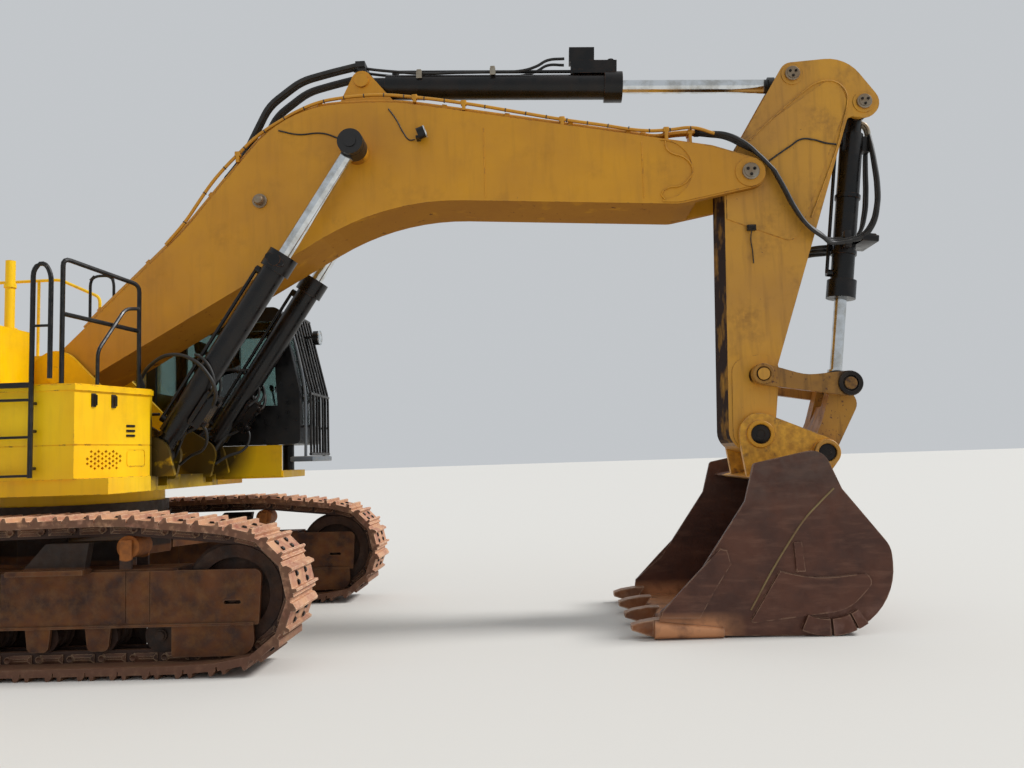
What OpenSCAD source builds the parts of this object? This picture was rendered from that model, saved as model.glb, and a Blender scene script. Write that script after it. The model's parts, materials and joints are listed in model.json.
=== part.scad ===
// Crawler excavator: undercarriage, slewing upper structure, boom, stick and bucket.
// Millimetres. X runs forward, Y to the operator's left, Z up from the ground.
// Side outlines are belts round circles: each row is [x, z, radius], walked anticlockwise,
// and a negative radius bends the outline the other way.

/* [Frame] */
// Forward distance from the origin to the slewing axis
slew_x = -2245; // [-2400:5:-2100]

/* [Tracks] */
// Distance between the two track centre lines
track_gauge = 3410; // [3300:10:3600]
// Width of a track shoe
shoe_w = 650; // [550:10:750]
// Distance between the idler and sprocket centres
wheel_base = 4700; // [4400:50:5000]
// Number of shoes in one track
shoes = 47; // [45:1:49]
// Height of the idler and sprocket centres
wheel_z = 620; // [610:5:640]
// Radius of the chain's pitch line round the idler and sprocket
pitch_r = 470; // [450:5:480]
// Height of the grousers' tips above the chain's pitch line
grouser_h = 125; // [115:1:135]
// Depth of the chain rails inside the pitch line
rail_in = 65; // [55:1:70]
// Distance of a chain rail from the track centre line
rail_y = 85; // [75:1:95]
// Width of one chain rail
rail_w = 50; // [40:1:60]
// Radius of a lower track roller
roller_r = 115; // [100:1:125]
// Number of lower rollers on one track
rollers = 8; // [6:1:8]
// Radius of a carrier roller
carrier_r = 95; // [80:1:105]
// Distance of a carrier roller from the middle of the track
carrier_x = 1460; // [1300:10:1500]

/* [Undercarriage] */
// Underside of the track frame's box
frame_z0 = 470; // [450:5:500]
// Top of the track frame's box
frame_z1 = 850; // [820:5:870]
// Half width of the track frame, over its side plates
frame_half_w = 190; // [185:1:220]
// Thickness of the track frame's side plates
frame_plate = 30; // [20:1:32]
// Underside of the carbody
belly_z = 810; // [780:5:840]
// Top of the carbody
carbody_z1 = 1130; // [1100:5:1180]
// Outer radius of the slewing ring
ring_r = 900; // [850:10:950]
// Top of the fixed half of the slewing ring
ring_z = 1340; // [1320:5:1360]

/* [Upper structure] */
// Underside of the revolving frame
deck_z0 = 1460; // [1440:5:1480]
// Top of the revolving frame's deck
deck_z1 = 1600; // [1580:5:1620]
// Half width of the deck
deck_half_w = 1620; // [1600:5:1640]
// Radius of the counterweight's rear face round the slewing axis
tail_r = 4015; // [3900:5:4100]
// Length of the counterweight
weight_len = 900; // [800:10:1000]
// Height of the counterweight's top
weight_z1 = 2900; // [2700:10:3000]
// Height of the engine house
house_z1 = 3050; // [2900:10:3150]
// Front end of the engine house, from the slewing axis
house_x1 = -1250; // [-1300:10:-1200]
// Thickness of the sheet metal walls
sheet = 25; // [15:1:40]
// Gap between a door and its frame
door_gap = 8; // [6:1:12]
// Thickness of the main plates that carry the boom
bracket_t = 50; // [40:1:60]
// Inner face of the main plates
bracket_y = 420; // [405:1:430]

/* [Right side] */
// Outer face of the tool box
box_y = 1650; // [1620:5:1700]
// Front end of the tool box at its outer face
box_x1 = 890; // [800:10:950]
// Rear end of the tool box
box_x0 = -150; // [-200:10:0]
// Top of the tool box
box_z1 = 2430; // [2300:10:2500]
// Height of the fuel tank
tank_z1 = 3060; // [2900:10:3150]

/* [Cab] */
// Rear wall of the cab, from the slewing axis
cab_x0 = 350; // [300:10:400]
// Front of the cab at its sill
cab_x1 = 2150; // [2050:10:2200]
// Inner side of the cab
cab_y0 = 800; // [760:5:820]
// Outer side of the cab
cab_y1 = 1700; // [1650:5:1750]
// Underside of the cab floor
cab_z0 = 1900; // [1850:10:1950]
// Top of the cab roof
cab_z1 = 3500; // [3400:10:3600]
// Thickness of the cab walls
cab_wall = 50; // [40:1:70]
// Thickness of the glass
glass_t = 8; // [5:1:12]

/* [Boom] */
// Boom foot pin, forward of the slewing axis
foot_x = 20; // [0:5:40]
// Boom foot pin, height
foot_z = 2640; // [2620:5:2660]
// Boom tip pin, forward of the slewing axis
tip_x = 7120; // [7080:5:7160]
// Boom tip pin, height
tip_z = 4470; // [4440:5:4500]
// Lift cylinder pin on the boom, forward
lift_x = 3120; // [3090:5:3150]
// Lift cylinder pin on the boom, height
lift_z = 4840; // [4820:5:4860]
// Lift cylinder foot pin, forward
lift_foot_x = 1140; // [1120:5:1160]
// Lift cylinder foot pin, height
lift_foot_z = 1800; // [1780:5:1820]
// Half width of the boom
boom_half_w = 390; // [380:1:400]
// Thickness of the boom plates
boom_plate = 25; // [15:1:30]
// Half width of the slot between the boom's tip ears
fork_half = 310; // [308:1:320]

/* [Stick] */
// Stick cylinder foot pin on the boom, forward
crowd_x = 3130; // [3100:5:3160]
// Stick cylinder foot pin on the boom, height
crowd_z = 5720; // [5700:5:5740]
// Stick cylinder rod pin on the stick, forward
head_x = 7630; // [7600:5:7660]
// Stick cylinder rod pin on the stick, height
head_z = 5520; // [5500:5:5540]
// Bucket cylinder foot pin on the stick, forward
back_x = 8340; // [8320:5:8360]
// Bucket cylinder foot pin on the stick, height
back_z = 5190; // [5170:5:5210]
// Guide link pin on the stick, forward
guide_x = 7120; // [7100:5:7140]
// Guide link pin on the stick, height
guide_z = 2410; // [2390:5:2430]
// Half width of the stick
stick_half_w = 300; // [290:1:304]
// Thickness of the stick plates
stick_plate = 25; // [15:1:30]

/* [Bucket] */
// Bucket pin at the stick's tip, forward
bucket_x = 7080; // [7060:5:7100]
// Bucket pin at the stick's tip, height
bucket_z = 1820; // [1800:5:1840]
// Link pin on the bucket, forward
ear_x = 7700; // [7680:5:7720]
// Link pin on the bucket, height
ear_z = 1620; // [1600:5:1640]
// Pin that joins the guide links, the power link and the cylinder rod, forward
link_x = 7960; // [7940:5:7980]
// The same pin, height
link_z = 2290; // [2270:5:2310]
// Half width of the bucket
bucket_half_w = 1020; // [980:5:1060]
// Thickness of the bucket's side plates
bucket_side = 35; // [25:1:45]
// Thickness of the bucket's shell
bucket_shell = 35; // [25:1:45]
// Thickness of a bucket ear
ear_t = 60; // [50:1:70]
// Inner face of the bucket ears
ear_y = 310; // [308:1:320]
// Number of teeth
teeth = 4; // [4:1:5]

/* [Cylinders] */
// Distance of a lift cylinder from the middle of the machine
lift_y = 600; // [590:1:620]
// Radius of a lift cylinder's barrel
lift_barrel_r = 120; // [110:1:125]
// Radius of a lift cylinder's rod
lift_rod_r = 68; // [55:1:75]
// Length of a lift cylinder's barrel from its foot pin
lift_barrel_l = 2330; // [2250:5:2400]
// Radius of the stick cylinder's barrel
crowd_barrel_r = 130; // [110:1:140]
// Radius of the stick cylinder's rod
crowd_rod_r = 72; // [55:1:80]
// Length of the stick cylinder's barrel from its foot pin
crowd_barrel_l = 2780; // [2700:5:2850]
// Radius of the bucket cylinder's barrel
curl_barrel_r = 115; // [100:1:125]
// Radius of the bucket cylinder's rod
curl_rod_r = 62; // [50:1:70]
// Length of the bucket cylinder's barrel from its foot pin
curl_barrel_l = 2000; // [1950:5:2050]
// Radius of the arm's hinge pins
pin_r = 75; // [65:1:80]

/* [Hidden] */
$fn = 40;

// Running clearance of a pin in its bore, and of flat faces that slide past each other
run = 0.05;
slide = 1;
seat = 0.3;

yellow = "#F2B705";
black = "#1E1E20";
steel = "#B9BDC2";
rust = "#5A4034";
shoe_brown = "#8A6A58";
bucket_brown = "#5E3A30";

FOOT = [foot_x, foot_z];
TIP = [tip_x, tip_z];
LIFT = [lift_x, lift_z];
LIFT_FOOT = [lift_foot_x, lift_foot_z];
CROWD = [crowd_x, crowd_z];
HEAD = [head_x, head_z];
BACK = [back_x, back_z];
GUIDE = [guide_x, guide_z];
LINK = [link_x, link_z];
BUCKET = [bucket_x, bucket_z];
EAR = [ear_x, ear_z];

// A circle of a belt, placed from a pin
function at(pin, dx, dz, r) = [pin[0] + dx, pin[1] + dz, r];
function heading(a, b) = atan2(b[1] - a[1], b[0] - a[0]);
function reach(a, b) = norm([b[0] - a[0], b[1] - a[1]]);
// Direction of the line that leaves circle a and meets circle b
function tangent(a, b) = heading(a, b) - asin((b[2] - a[2]) / reach(a, b));
function bend(t0, t1, r) = let (d = t1 - t0, w = d - 360 * floor((d + 180) / 360))
  r > 0 && w < -0.001 ? w + 360 : r < 0 && w > 0.001 ? w - 360 : w;
// The outline's points on one of its circles, at most 1.5 mm off the round
function arc(rows, i, step = 15) =
  let (a = rows[(i + len(rows) - 1) % len(rows)], c = rows[i], b = rows[(i + 1) % len(rows)],
       t0 = tangent(a, c), w = bend(t0, tangent(c, b), c[2]),
       n = c[2] == 0 ? 0 : max(1, ceil(abs(w) / min(step, 2 * acos(1 - 1.5 / max(20, abs(c[2])))))))
    [for (k = [0:n]) let (t = t0 + w * k / max(n, 1)) [c[0] + c[2] * sin(t), c[1] - c[2] * cos(t)]];
function belt(rows, step = 15) = [for (i = [0:len(rows) - 1]) each arc(rows, i, step)];
// A rectangle with round corners, as a belt
function rounded(x, z, r) = belt([[x[0] + r, z[0] + r, r], [x[1] - r, z[0] + r, r],
  [x[1] - r, z[1] - r, r], [x[0] + r, z[1] - r, r]]);
// The same belt, moved inwards all round
function inside(rows, d) = [for (c = rows) [c[0], c[1], c[2] - d]];

// Everything is written from the slewing axis and moved to the shared origin here
module on_axis() translate([slew_x, 0, 0]) children();
module both() {
  children();
  mirror([0, 1, 0]) children();
}
// A side outline as a plate between two Y values
module side(y0, y1) translate([0, y1, 0]) rotate([90, 0, 0]) linear_extrude(y1 - y0) children();
// A round bar across the machine
module across(p, r, y0, y1) translate([p[0], y1, p[1]]) rotate([90, 0, 0]) cylinder(r = r, h = y1 - y0);
// Puts the X axis of what follows on the line from one pin to another
module between(p, q) translate([p[0], 0, p[1]]) rotate([0, -heading(p, q), 0]) children();
module along(r, x0, x1) translate([x0, 0, 0]) rotate([0, 90, 0]) cylinder(r = r, h = x1 - x0);
module block(x, y, z) translate([x[0], y[0], z[0]]) cube([x[1] - x[0], y[1] - y[0], z[1] - z[0]]);
// A bent tube: the corners of a list of points are rounded, then a ring is swept along it
function unit(v) = v / norm(v);
function bow(a, p, b, r) = let (s = p + unit(a - p) * r, e = p + unit(b - p) * r)
  [for (t = [0:0.25:1]) (1 - t) * (1 - t) * s + 2 * t * (1 - t) * p + t * t * e];
function soft(points, r) = [for (i = [0:len(points) - 1])
  each i == 0 || i == len(points) - 1 ? [points[i]] : bow(points[i - 1], points[i], points[i + 1], r)];
function lead(path, i) = unit(path[min(i + 1, len(path) - 1)] - path[max(i - 1, 0)]);
function sideways(path, i, n) = i == len(path) ? [] :
  let (t = lead(path, i), m = unit(n - (n * t) * t)) concat([m], sideways(path, i + 1, m));
module sweep(path, r, first, sides = 8) {
  normals = sideways(path, 0, first);
  rings = [for (i = [0:len(path) - 1]) let (n = normals[i], b = cross(lead(path, i), n))
    for (k = [0:sides - 1]) path[i] + r * (cos(360 * k / sides) * n + sin(360 * k / sides) * b)];
  last = (len(path) - 1) * sides;
  polyhedron(rings, concat(
    [[for (k = [0:sides - 1]) k]],
    [[for (k = [sides - 1:-1:0]) last + k]],
    [for (i = [0:len(path) - 2]) for (k = [0:sides - 1]) let (j = (k + 1) % sides)
      [i * sides + k, (i + 1) * sides + k, (i + 1) * sides + j, i * sides + j]]));
}
module tube(points, r, first = [0.31, 0.9, 0.3], bend_r = 70) sweep(soft(points, bend_r), r, first);

// Hinge of a door: its pin stands 18 mm off the wall, the door lies towards +X
module hinge_pin() {
  cylinder(r = 10, h = 160, center = true);
  for (s = [-71, 71]) translate([-12, -18.5, s - 9]) cube([18, 20, 18]);
}
module hinge_sleeve(leaf) difference() {
  union() {
    cylinder(r = 16, h = 122, center = true);
    translate([0, leaf[1], -61]) cube([leaf[0], leaf[2] - leaf[1], 122]);
  }
  cylinder(r = 10 + run, h = 200, center = true);
}
door_leaf = [70, -16, -5];

// Track: a belt round the sprocket, the lower rollers, the idler and the carrier rollers
wheel_x = wheel_base / 2;
ground_pitch = grouser_h;
end_roll = 175;
rail_r = pitch_r - rail_in;
sag_r = 3000;
carrier_pitch = 1185;
track_rows = [[-wheel_x, wheel_z, pitch_r], [-wheel_x + 400, ground_pitch + end_roll, end_roll],
  [wheel_x - 400, ground_pitch + end_roll, end_roll], [wheel_x, wheel_z, pitch_r],
  [carrier_x, carrier_pitch - carrier_r - rail_in, carrier_r + rail_in],
  [0, carrier_pitch - 15 + sag_r, -sag_r],
  [-carrier_x, carrier_pitch - carrier_r - rail_in, carrier_r + rail_in]];
track_path = belt(track_rows, 6);
track_closed = concat(track_path, [track_path[0]]);
track_steps = [for (i = [0:len(track_closed) - 2]) norm(track_closed[i + 1] - track_closed[i])];
function sums(v, i = 0, s = 0) = i == len(v) ? [s] : concat([s], sums(v, i + 1, s + v[i]));
track_s = sums(track_steps);
track_len = track_s[len(track_s) - 1];
shoe_pitch = track_len / shoes;
track_xs = [for (i = [0:len(track_s) - 1]) [track_s[i], track_closed[i][0]]];
track_zs = [for (i = [0:len(track_s) - 1]) [track_s[i], track_closed[i][1]]];
function wrap_s(s) = s - track_len * floor(s / track_len);
function joint(i) = let (s = wrap_s(i * shoe_pitch)) [lookup(s, track_xs), lookup(s, track_zs)];
// A shoe with two grousers: along the track, outwards from the pitch line
shoe_gap = 8;
shoe_half = shoe_pitch / 2 - shoe_gap / 2;
plate_in = 60;
plate_out = 90;
shoe_points = [[-shoe_half, plate_in], [-shoe_half, plate_out], [-98, plate_out], [-90, grouser_h],
  [-70, grouser_h], [-62, plate_out], [66, plate_out], [76, grouser_h], [96, grouser_h],
  [shoe_half, plate_out - 4], [shoe_half, plate_in]];
function shoe_point(i, p) = let (a = joint(i), b = joint(i + 1), m = (a + b) / 2, e = (b - a) / norm(b - a))
  m + p[0] * e + p[1] * [e[1], -e[0]];
shoe_outer = [for (i = [0:shoes - 1]) for (p = shoe_points) shoe_point(i, p)];
shoe_inner = [for (i = [0:shoes - 1]) let (a = shoe_point(i - 1, [shoe_half, 30]),
    b = shoe_point(i, [-shoe_half, 30])) (a + b) / 2];

module track() {
  difference() {
    translate([0, shoe_w / 2, 0]) rotate([90, 0, 0]) linear_extrude(shoe_w) polygon(shoe_outer);
    translate([0, shoe_w, 0]) rotate([90, 0, 0]) linear_extrude(2 * shoe_w) polygon(shoe_inner);
  }
  both() side(rail_y - rail_w / 2, rail_y + rail_w / 2) difference() {
    polygon(belt(inside(track_rows, -36), 15));
    polygon(belt(inside(track_rows, rail_in), 15));
  }
}
module on_track(s) on_axis() translate([0, s * track_gauge / 2, 0]) children();
module track_right() color(shoe_brown) on_track(-1) track();
module track_left() color(shoe_brown) on_track(1) track();

// Track frame: a box over the rollers, deep side plates and the outer guards
frame_x = 1900;
nose_x = 2600;
ledge_z = 385;
roller_span = 3500;
roller_xs = [for (i = [0:rollers - 1]) -roller_span / 2 + roller_span * i / (rollers - 1)];
panel_seams = [-1100, 430, 1480, 1680];
module frame_wall() side(frame_half_w - frame_plate, frame_half_w) children();
module track_frame() {
  block([-wheel_x + sprocket_tip + 15, frame_x], [-frame_half_w + frame_plate, frame_half_w - frame_plate],
      [frame_z0, frame_z1]);
  both() difference() {
    frame_wall() union() {
      polygon(belt([[-1850, ledge_z + 20, 20], [nose_x - 40, ledge_z + 20, 20], [nose_x - 60, 770, 60],
          [-1850, frame_z1 - 60, 60]]));
      // Lower guards in front and behind
      polygon(belt([[1880, 160, 20], [nose_x - 190, 270, 130], [nose_x - 90, ledge_z + 30, 20],
          [1880, ledge_z + 30, 20]]));
      polygon(belt([[-1880, 200, 60], [-1500, 160, 20], [-1500, ledge_z + 30, 20],
          [-1880, ledge_z + 30, 20]]));
      // Brackets of the lower rollers
      for (x = roller_xs) if (abs(x) < 1700)
        polygon(belt([[x - 45, 245, 45], [x + 45, 245, 45], [x + 100, ledge_z + 30, 10],
            [x - 100, ledge_z + 30, 10]]));
    }
    // Grease slot of the track adjuster
    side(0, 400) polygon(rounded([2290, 2430], [552, 582], 14));
    // Seams of the side panel
    for (x = panel_seams) block([x - 4, x + 4], [frame_half_w - 6, 400], [ledge_z + 40, frame_z1 + 1]);
  }
  both() block([-1850, nose_x - 60], [frame_half_w - 1, frame_half_w + 16], [ledge_z, ledge_z + 22]);
  both() difference() {
    frame_wall()
      polygon(belt([[-wheel_x, wheel_z, 300], [-1840, 250, 50], [-1700, 300, 60], [-1700, 780, 60],
          [-1840, 800, 50]]));
    across([-wheel_x, wheel_z], 200, 0, 400);
  }
  // Foot step between the frame and the upper run
  block([550, 1190], [-shoe_w / 2, -frame_half_w + 5], [frame_z1 - 20, frame_z1 + 20]);
  side(-shoe_w / 2 + 60, -frame_half_w + 5) polygon([[640, frame_z1], [1170, frame_z1],
      [1210, frame_z1 + 230], [850, frame_z1 + 230]]);
}
module track_frame_right() color(rust) on_track(-1) track_frame();
module track_frame_left() color(rust) on_track(1) mirror([0, 1, 0]) track_frame();

module turned(points) rotate([90, 0, 0]) rotate_extrude($fn = 60) polygon(points);
wheel_half = 130;
rim_r = rail_r - 2;
module idler() translate([wheel_x, 0, wheel_z]) {
  turned([[0, -wheel_half], [130, -wheel_half], [130, -70], [300, -50], [300, -wheel_half + 10],
      [rim_r, -wheel_half + 10],
    [rim_r, -55], [rim_r + 35, -50], [rim_r + 35, 50], [rim_r, 55], [rim_r, wheel_half - 10],
        [300, wheel_half - 10],
    [300, 50], [130, 70], [130, wheel_half], [0, wheel_half]]);
  rotate([90, 0, 0]) cylinder(r = 60, h = 2 * (frame_half_w - frame_plate) - 2 * seat, center = true);
}
module idlers() color(rust) {
  on_track(-1) idler();
  on_track(1) idler();
}
sprocket_teeth = 23;
sprocket_root = 395;
sprocket_tip = 455;
module sprocket(out) translate([-wheel_x, 0, wheel_z]) {
  rotate([90, 0, 0]) linear_extrude(80, center = true) difference() {
    polygon([for (k = [0:sprocket_teeth - 1]) for (q = [[-5, sprocket_root], [-2.2, sprocket_tip],
        [2.2, sprocket_tip], [5, sprocket_root]])
      let (t = 360 * k / sprocket_teeth + q[0]) q[1] * [cos(t), sin(t)]]);
    circle(r = 200);
  }
  // Final drive: a drum through the frame flange, with a cover outside
  rotate([90, 0, 0]) translate([0, 0, -out * 20]) rotate_extrude($fn = 60)
    polygon([[0, -out * 150], [199, -out * 150], [199, out * 230], [170, out * 250], [90, out * 260],
        [0, out * 260]]);
}
module sprockets() color(rust) {
  on_track(-1) sprocket(1);
  on_track(1) mirror([0, 1, 0]) sprocket(1);
}
roller_z = ground_pitch + rail_in + roller_r + seat;
module roller(r) {
  turned([[0, -145], [50, -145], [50, -125], [r + 20, -125], [r + 20, -115], [r, -112], [r, -40],
      [r - 25, -35],
    [r - 25, 35], [r, 40], [r, 112], [r + 20, 115], [r + 20, 125], [50, 125], [50, 145], [0, 145]]);
}
module track_rollers() color(rust) for (s = [-1, 1]) on_track(s)
  for (x = roller_xs) translate([x, 0, roller_z]) {
    roller(roller_r);
    rotate([90, 0, 0]) cylinder(r = 35, h = 2 * (frame_half_w - frame_plate) - 2 * seat, center = true);
  }
carrier_z = carrier_pitch - rail_in - carrier_r;
module carrier_rollers() color(rust) for (s = [-1, 1]) on_track(s) for (x = [-carrier_x, carrier_x]) {
  translate([x, 0, carrier_z - seat]) turned([[0, -130], [carrier_r - 20, -130], [carrier_r, -120],
      [carrier_r, 120],
    [carrier_r - 20, 130], [0, 130]]);
  both() block([x - 50, x + 50], [135, 160], [frame_z1, carrier_z + 60]);
  translate([x, 0, carrier_z]) rotate([90, 0, 0]) cylinder(r = 30, h = 300, center = true);
}

// Carbody: a drum with four arms that reach the track frames
arm_y = track_gauge / 2 - frame_half_w;
module carbody() color(rust) on_axis() {
  difference() {
    union() {
      translate([0, 0, belly_z]) cylinder(r = 1000, h = carbody_z1 - belly_z, $fn = 8);
      for (a = [-1, 1]) both() translate([0, 0, belly_z]) linear_extrude(carbody_z1 - belly_z - 80)
        polygon([[a * 250, 600], [a * 850, 400], [a * 1350, arm_y - 60], [a * 1350, arm_y],
            [a * 750, arm_y], [a * 750, arm_y - 60]]);
      translate([0, 0, carbody_z1 - 1]) cylinder(r = ring_r + 20, h = 101, $fn = 60);
    }
    translate([0, 0, belly_z - 10]) cylinder(r = 420, h = 600);
  }
}
module slew_ring() color(steel) on_axis() translate([0, 0, carbody_z1 + 100]) difference() {
  cylinder(r = ring_r, h = ring_z - carbody_z1 - 100, $fn = 96);
  translate([0, 0, -1]) cylinder(r = ring_r - 200, h = 400, $fn = 96);
}

// Revolving frame: deck, main plates with the boom foot, lugs of the lift cylinders
weight_x1 = -tail_r + weight_len;
deck_x0 = weight_x1 - 400;
deck_x1 = 1180;
foot_boss = 250;
lug_r = 170;
lift_eye_half = 80;
lift_pin_r = 65;
lug_y = lift_y + lift_eye_half + slide;
main_plate_rows = [at(FOOT, 0, 0, foot_boss), [-900, deck_z1 + 250, 120], [-1200, deck_z1 - 20, 20],
  [foot_x + 1220, deck_z1 - 20, 20], at(LIFT_FOOT, 0, 0, lug_r), [900, 2450, -250]];
module revolving_frame() color(yellow) on_axis() {
  difference() {
    block([deck_x0, deck_x1], [-deck_half_w, deck_half_w], [deck_z0, deck_z1]);
    // Clear of the lift cylinders' feet
    both() block([LIFT_FOOT[0] - 220, deck_x1 + 1], [bracket_y + bracket_t + 10, lug_y - 5],
        [deck_z0 + 40, deck_z1 + 1]);
  }
  // Left side deck under the cab
  block([deck_x1, cab_x1 - 200], [cab_y0, deck_half_w + 60], [deck_z0 + 60, deck_z1]);
  // Skirt plates under the cab
  block([deck_x1 - 120, cab_x1 - 210], [cab_y0 - 20, cab_y0 + 1], [deck_z0 + 80, cab_z0 - 7]);
  both() side(bracket_y, bracket_y + bracket_t) polygon(belt(main_plate_rows));
  both() side(lug_y, lug_y + 50)
    polygon(belt([at(LIFT_FOOT, 0, 0, lug_r), at(LIFT_FOOT, -180, -190, 20), at(LIFT_FOOT, 200, -190, 20)]));
  both() across(LIFT_FOOT, 110, bracket_y + bracket_t - 1, lift_y - lift_eye_half - slide);
  both() across(LIFT_FOOT, lift_pin_r, bracket_y + 10, lug_y + 60);
  across(FOOT, pin_r + 10, -bracket_y - bracket_t - 20, bracket_y + bracket_t + 20);
  // Cross plates behind the boom foot and in front of the valve space
  block([-700, -660], [-bracket_y, bracket_y], [deck_z1, 2150]);
  // Turning half of the slewing ring
  translate([0, 0, ring_z + seat]) difference() {
    cylinder(r = ring_r - 40, h = deck_z0 - ring_z + 5, $fn = 96);
    translate([0, 0, -1]) cylinder(r = ring_r - 260, h = deck_z0 - ring_z, $fn = 96);
  }
}

module counterweight() color(yellow) on_axis() difference() {
  intersection() {
    block([-tail_r - 10, weight_x1], [-1600, 1600], [deck_z0, weight_z1]);
    cylinder(r = tail_r, h = 4000, $fn = 160);
    side(-1700, 1700) polygon([[-tail_r + 260, deck_z0], [weight_x1 + 10, deck_z0],
        [weight_x1 + 10, weight_z1],
      [-tail_r + 220, weight_z1], [-tail_r, weight_z1 - 180], [-tail_r, deck_z0 + 300]]);
  }
  block([deck_x0 - 1, weight_x1 + 1], [-deck_half_w, deck_half_w], [deck_z0 - 1, deck_z1]);
  // Lifting bores in the top
  both() translate([weight_x1 - 450, 900, weight_z1 - 200]) cylinder(r = 40, h = 300);
}
engine_x = [weight_x1 + 265, house_x1 - 600];
module engine_block() color("#6B6B66") on_axis() block(engine_x, [-900, 700], [deck_z1, 2600]);

// Engine house: sheet metal over the engine, with a door each side and a lid
door_x = [weight_x1 + 165, house_x1 - 150];
door_z = [deck_z1 + 150, house_z1 - 250];
lid_x = [weight_x1 + 415, house_x1 - 250];
lid_y = [-750, 750];
house_half = 1600;
door_hinge_z = [1900, 2650];
module engine_house() color(yellow) on_axis() {
  difference() {
    block([weight_x1, house_x1], [-house_half, house_half], [deck_z1, house_z1]);
    block([weight_x1 + sheet, house_x1 - sheet], [-house_half + sheet, house_half - sheet],
        [deck_z1 - 1, house_z1 - sheet]);
    both() block(door_x, [house_half - 100, house_half + 10], door_z);
    block(lid_x, lid_y, [house_z1 - 100, house_z1 + 10]);
  }
  both() for (z = door_hinge_z) translate([door_x[0], house_half + 18, z]) hinge_pin();
  // Rail along the left side, down to the cooling house
  tube([[door_x[0] + 200, 1400, house_z1 - 10], [door_x[0] + 200, 1400, 4040], [house_x1 + 210, 1400, 4060],
    [house_x1 + 720, 1400, 3820], [house_x1 + 720, 1400, house_z1 - 60 + seat]], 20);
  for (x = [-1950, house_x1 - 60]) tube([[x, 1400, house_z1 - 10], [x, 1400, 4045]], 18);
  // Exhaust stack with its turned lip
  translate([-2300, -1150, house_z1 - 10]) {
    cylinder(r = 110, h = 30);
    cylinder(r = 75, h = 420);
    translate([0, 0, 395]) cylinder(r = 84, h = 26);
  }
  both() lid_hinge() hinge_pin();
}
module lid_hinge() translate([lid_x[0] - 50, 500, house_z1 + 18]) rotate([90, 0, 0]) children();
module louvred_door(x, y, z) difference() {
  block([x[0] + door_gap, x[1] - door_gap], y, [z[0] + door_gap, z[1] - door_gap]);
  for (i = [0:8]) block([x[0] + 180, x[1] - 180], [y[0] - 1, y[1] + 1],
      [z[0] + 180 + i * 85, z[0] + 215 + i * 85]);
}
module side_door() {
  louvred_door(door_x, [house_half - sheet, house_half + 5], door_z);
  for (z = door_hinge_z) translate([door_x[0], house_half + 18, z]) hinge_sleeve(door_leaf);
}
module radiator_door() color(yellow) on_axis() side_door();
module pump_door() color(yellow) on_axis() mirror([0, 1, 0]) side_door();
module hood_lid() color(yellow) on_axis() {
  difference() {
    block([lid_x[0] - 30, lid_x[1] + 30], [lid_y[0] - 30, lid_y[1] + 30], [house_z1 + seat, house_z1 + 140]);
    block([lid_x[0], lid_x[1]], lid_y, [house_z1 - 1, house_z1 + 110]);
  }
  both() lid_hinge() hinge_sleeve([26, -8, 8]);
}
// Cooling house behind the cab
module cooling_house() color(yellow) on_axis() difference() {
  block([house_x1 + seat, 150], [560, house_half], [deck_z1, house_z1 - 60]);
  block([house_x1 + sheet, 150 - sheet], [560 + sheet, house_half - sheet],
      [deck_z1 - 1, house_z1 - 60 - sheet]);
  for (i = [0:9]) block([house_x1 + 150, 0], [house_half - 100, house_half + 1],
      [1900 + i * 95, 1940 + i * 95]);
}
module fuel_tank() color(yellow) on_axis() difference() {
  block([house_x1 + seat, box_x0 - seat], [-house_half, -560], [deck_z1, tank_z1]);
  block([house_x1 + sheet, box_x0 - sheet], [-house_half + sheet, -560 - sheet],
      [deck_z1 + sheet, tank_z1 - sheet]);
}
// Tool box at the right front corner, with its slanted front face
box_in = 790;
box_x2 = 1170;
grille_z = [1660, 1840];
box_split_z = 1890;
rim_h = 60;
rim_out = 14;
hatch_z = [1690, 1850];
// The slanted face: its corner at the outer side, and its direction
face_a = [box_x1, -box_y];
face_b = [box_x2, -box_in - 60];
face_l = reach(face_a, face_b);
module on_face() translate([face_a[0], face_a[1], 0]) rotate([0, 0, heading(face_a, face_b)]) children();
function box_plan(d) = [[box_x0, -box_y - d], [box_x1 + d, -box_y - d], [box_x2 + d, -box_in - 60 - d],
    [box_x2 + d, -box_in], [box_x0, -box_in]];
module tool_box() color(yellow) on_axis() difference() {
  union() {
    translate([0, 0, deck_z1]) linear_extrude(box_z1 - deck_z1) polygon(box_plan(0));
    translate([0, 0, box_z1 - rim_h]) linear_extrude(rim_h - 12) polygon(box_plan(rim_out));
  }
  // Seam between the lower tray and the box above it
  difference() {
    translate([0, 0, box_split_z]) linear_extrude(8) polygon(box_plan(20));
    translate([0, 0, box_split_z - 1]) linear_extrude(10) polygon(box_plan(-8));
  }
  // Oval grille of diamond holes
  on_face() for (i = [0:9]) for (j = [0:3]) if (abs(i - 4.5) + abs(j - 1.5) < 5.2)
    translate([face_l * 0.17 + i * 40, -10, grille_z[0] + 25 + j * 43 + (i % 2) * 20]) rotate([-90, 0, 0])
        cylinder(r = 16, h = 80, $fn = 4);
  // Round-cornered hatch, drawn by its groove
  on_face() difference() {
    side(-1, 5) polygon(rounded([face_l * 0.68, face_l * 0.94], hatch_z, 30));
    side(-2, 6) polygon(rounded([face_l * 0.68 + 8, face_l * 0.94 - 8], [hatch_z[0] + 8, hatch_z[1] - 8],
        24));
  }
  translate([0, 0, deck_z1 + sheet]) linear_extrude(box_z1 - deck_z1 - 2 * sheet)
    polygon([[box_x0 + sheet, -box_y + sheet], [box_x1 - sheet, -box_y + sheet],
        [box_x2 - sheet, -box_in - 70],
      [box_x2 - sheet, -box_in - sheet], [box_x0 + sheet, -box_in - sheet]]);
}

rail_r0 = 21;
post_y = -box_y - 70;
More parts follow.
